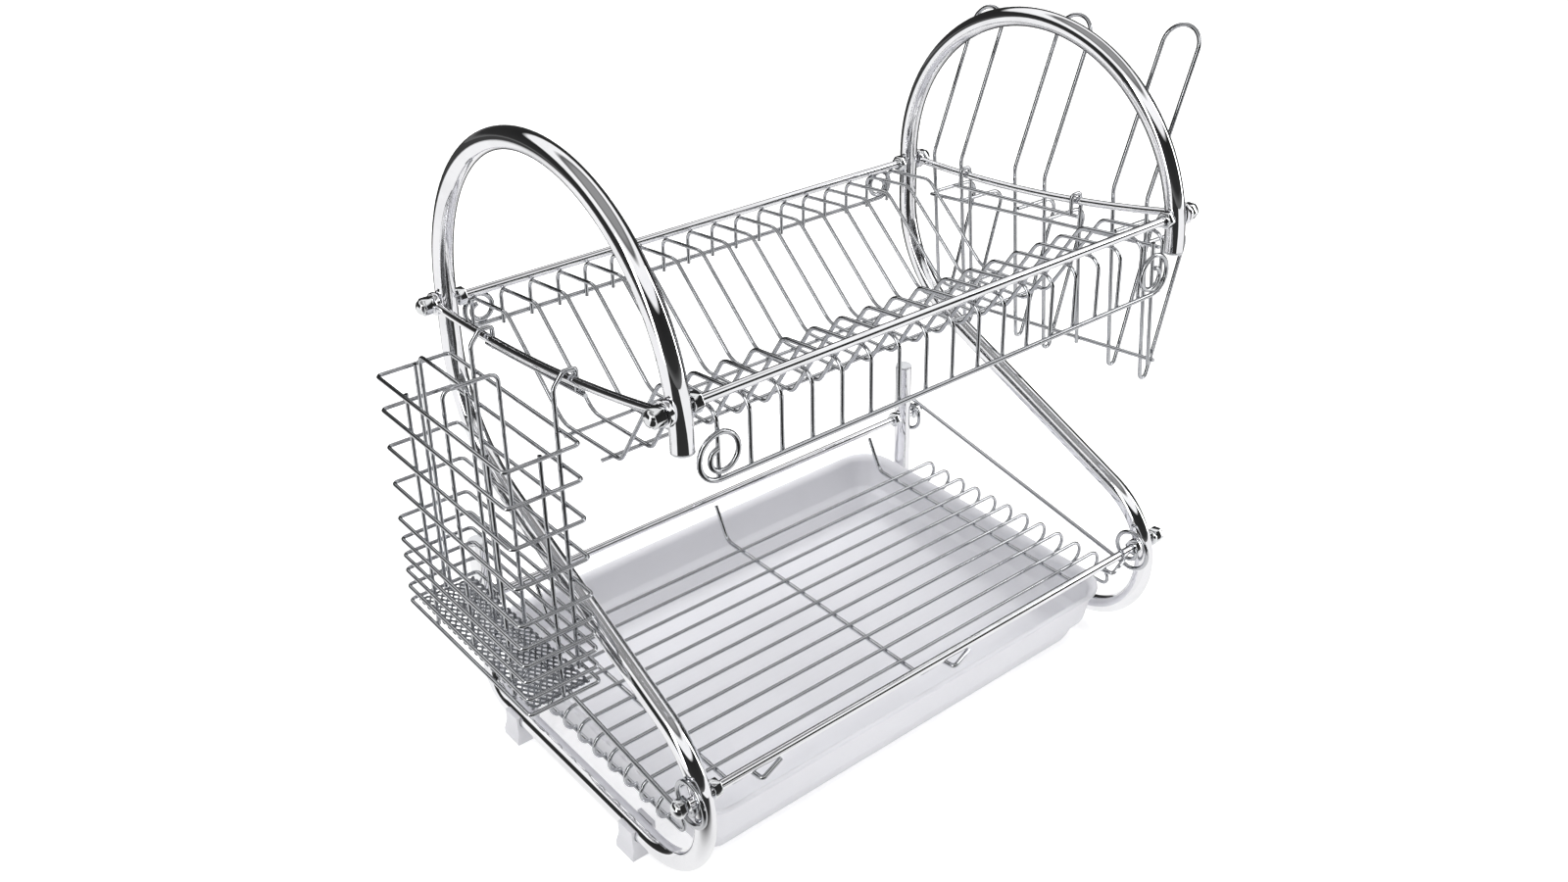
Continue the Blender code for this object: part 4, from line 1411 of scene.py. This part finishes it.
@dataclass(frozen=True)
class Studio:
    """The pale floor, the soft lights and the camera.

    The cards on the floor are a painted reflection: dark greys that show in mirrored rays only,
    while the camera sees the pale floor. The sky's bands show to every ray but the camera's.
    Both are pairs of a share and a grey, and lie still in the world.
    """

    layout: Layout
    target: Point = (-0.01711, 0.01398, 0.25631)
    azimuth: float = -39.084
    elevation: float = 25.991
    roll: float = -0.933
    distance: float = 0.9110
    lens: float = 33.88
    shift_y: float = -0.0625
    floor_size: float = 14.0
    floor_drop: float = 0.2 * MM
    floor_grey: Point = (0.93, 0.93, 0.93)
    floor_glow: float = 0.4
    # Greys of the painted reflection: a dark card that only the chrome mirrors, never the camera.
    painted_card_reach: float = 4.0
    painted_card_ahead: tuple[Pair, ...] = ((0.0, 0.9), (0.53, 0.9), (0.54, 0.03), (1.0, 0.03))
    painted_card_across: tuple[Pair, ...] = (
        (0.0, 0.95), (0.26, 0.95), (0.28, 0.03), (0.74, 0.03), (0.76, 0.95), (1.0, 0.95),
    )
    painted_card_near: float = 0.35
    painted_card_behind: tuple[Pair, ...] = ((0.0, 0.05), (0.44, 0.05), (0.465, 0.95), (1.0, 0.95))
    sky_bands: tuple[Pair, ...] = (
        (0.0, 0.12), (0.05, 0.06), (0.09, 0.03), (0.52, 0.02),
        (0.58, 0.95), (0.8, 1.0), (0.86, 0.12), (0.93, 0.3),
    )
    lamps: tuple[tuple[str, Point, Point, Pair, float, bool], ...] = (
        ("overhead", (0, 0.2, 2.6), (0, 0, 0), (3.2, 3.2), 95, False),
        ("left_strip", (-2.2, -0.6, 1.1), (0, 0, 0.25), (0.5, 2.0), 16, True),
        ("right_strip", (2.0, -1.2, 0.9), (0, 0, 0.25), (0.4, 2.0), 12, True),
    )

    def camera(self) -> None:
        """Set the camera at the viewing angle."""
        azimuth, elevation = math.radians(self.azimuth), math.radians(self.elevation)
        level = math.cos(elevation)
        back = Vector((math.sin(azimuth) * level, -math.cos(azimuth) * level, math.sin(elevation)))
        right = Vector((0, 0, 1)).cross(back).normalized()
        up = back.cross(right)
        roll = Matrix.Rotation(math.radians(self.roll), 3, "Z")
        turn = Matrix((right, up, back)).transposed() @ roll
        data = bpy.data.cameras.new("camera")
        data.lens = self.lens
        data.sensor_width = 36
        data.shift_y = self.shift_y
        data.clip_start = 0.01
        made = bpy.data.objects.new("camera", data)
        place = self.layout.spot(*self.target) + back * self.distance
        made.matrix_world = Matrix.Translation(place) @ turn.to_4x4()
        bpy.context.scene.collection.objects.link(made)
        bpy.context.scene.camera = made

    def floor(self) -> None:
        """Lay a wide pale floor whose mirrored rays see a painted dark card, wider ahead of the
        rack.
        """
        place = (0, 0, -self.floor_drop)
        made = added(bpy.ops.mesh.primitive_plane_add, size=self.floor_size, location=place)
        made.name = "floor"
        look = bpy.data.materials.new("pale_floor")
        look.use_nodes = True
        tree = look.node_tree
        shader = tree.nodes["Principled BSDF"]
        inputs = {
            "Base Color": (*self.floor_grey, 1),
            "Roughness": 0.8,
            "Specular IOR Level": 0.2,
            "Emission Color": (1, 1, 1, 1),
            "Emission Strength": self.floor_glow,
        }
        feed(tree, shader, inputs)
        # Painted reflection: mirrored rays see this dark card instead of the pale floor.
        painted_reflection = node(tree, "ShaderNodeEmission", {"Color": self.painted_reflection_card(tree)})
        mirrored = tree.nodes.new("ShaderNodeLightPath").outputs["Is Glossy Ray"]
        inputs = {"Fac": mirrored, 1: shader.outputs["BSDF"], 2: painted_reflection.outputs["Emission"]}
        mix = node(tree, "ShaderNodeMixShader", inputs)
        feed(tree, tree.nodes["Material Output"], {"Surface": mix.outputs["Shader"]})
        made.data.materials.append(look)

    def painted_reflection_card(self, tree: Tree) -> Socket:
        """Paint the floor's dark card, a painted reflection that only mirrored rays see.

        Args:
            tree: The floor's nodes.

        Returns:
            The colour's socket.
        """
        place = tree.nodes.new("ShaderNodeTexCoord").outputs["Object"]
        inputs = {"Vector": place, "Axis": (0, 0, 1), "Angle": -math.radians(self.azimuth)}
        turned = node(tree, "ShaderNodeVectorRotate", inputs).outputs["Vector"]
        x, y, _ = node(tree, "ShaderNodeSeparateXYZ", {"Vector": turned}).outputs
        distance = span(tree, y, (self.painted_card_reach, -self.painted_card_reach), (0.0, 1.0))
        near = node(tree, "ShaderNodeMath", {0: self.painted_card_near, 1: y}, operation="SUBTRACT")
        inputs = {0: x, 1: near.outputs["Value"]}
        ratio = node(tree, "ShaderNodeMath", inputs, operation="DIVIDE").outputs["Value"]
        sideways = span(tree, ratio, (-1.0, 1.0), (0.0, 1.0))
        made = bands(tree, distance, self.painted_card_ahead)
        for blend, value, stops in (
            ("LIGHTEN", sideways, self.painted_card_across),
            ("DARKEN", distance, self.painted_card_behind),
        ):
            inputs = {"Fac": 1.0, "Color1": made, "Color2": bands(tree, value, stops)}
            made = node(tree, "ShaderNodeMixRGB", inputs, blend_type=blend).outputs["Color"]
        return made

    def lamp(
        self, name: str, place: Point, aim: Point, size: Pair, power: float, mirrored: bool
    ) -> None:
        """Hang one soft rectangular light.

        Args:
            name: The light's name.
            place: Where it hangs.
            aim: The point that it faces.
            size: Its width and height.
            power: Its power in watts.
            mirrored: Whether the chrome mirrors it.
        """
        data = bpy.data.lights.new(name, "AREA")
        data.shape = "RECTANGLE"
        data.size, data.size_y = size
        data.energy = power
        made = bpy.data.objects.new(name, data)
        facing = Vector(aim) - Vector(place)
        made.location = place
        made.rotation_euler = facing.to_track_quat("-Z", "Y").to_euler()
        made.visible_glossy = mirrored
        bpy.context.scene.collection.objects.link(made)

    def sky(self) -> None:
        """Surround the rack with bright and dark bands for the chrome to mirror."""
        world = bpy.data.worlds.new("studio")
        world.use_nodes = True
        bpy.context.scene.world = world
        tree = world.node_tree
        place = tree.nodes.new("ShaderNodeTexCoord").outputs["Generated"]
        height = node(tree, "ShaderNodeSeparateXYZ", {"Vector": place}).outputs["Z"]
        ring = bands(tree, height, self.sky_bands)
        seen = tree.nodes.new("ShaderNodeLightPath").outputs["Is Camera Ray"]
        inputs = {"Fac": seen, "Color1": ring, "Color2": (1, 1, 1, 1)}
        mix = node(tree, "ShaderNodeMixRGB", inputs)
        inputs = {"Color": mix.outputs["Color"], "Strength": 1.0}
        feed(tree, tree.nodes["Background"], inputs)

    def build(self) -> None:
        """Set the whole studio."""
        bpy.context.scene.view_settings.view_transform = "Standard"
        self.camera()
        self.floor()
        self.sky()
        for lamp in self.lamps:
            self.lamp(*lamp)


def main() -> None:
    """Build every part of the scene in order."""
    logging.basicConfig(level=logging.INFO, format="%(message)s")
    layout = read_layout()
    Studio(layout).build()
    SideFrames(layout).build()
    Fasteners(layout).build()
    PlateBasket(layout).build()
    BowlRack(layout).build()
    CutleryBasket(layout).build()
    CupHolder(layout).build()
    DripTray().build()
    LOG.info("all pieces are in place")


if __name__ == "__main__":
    main()
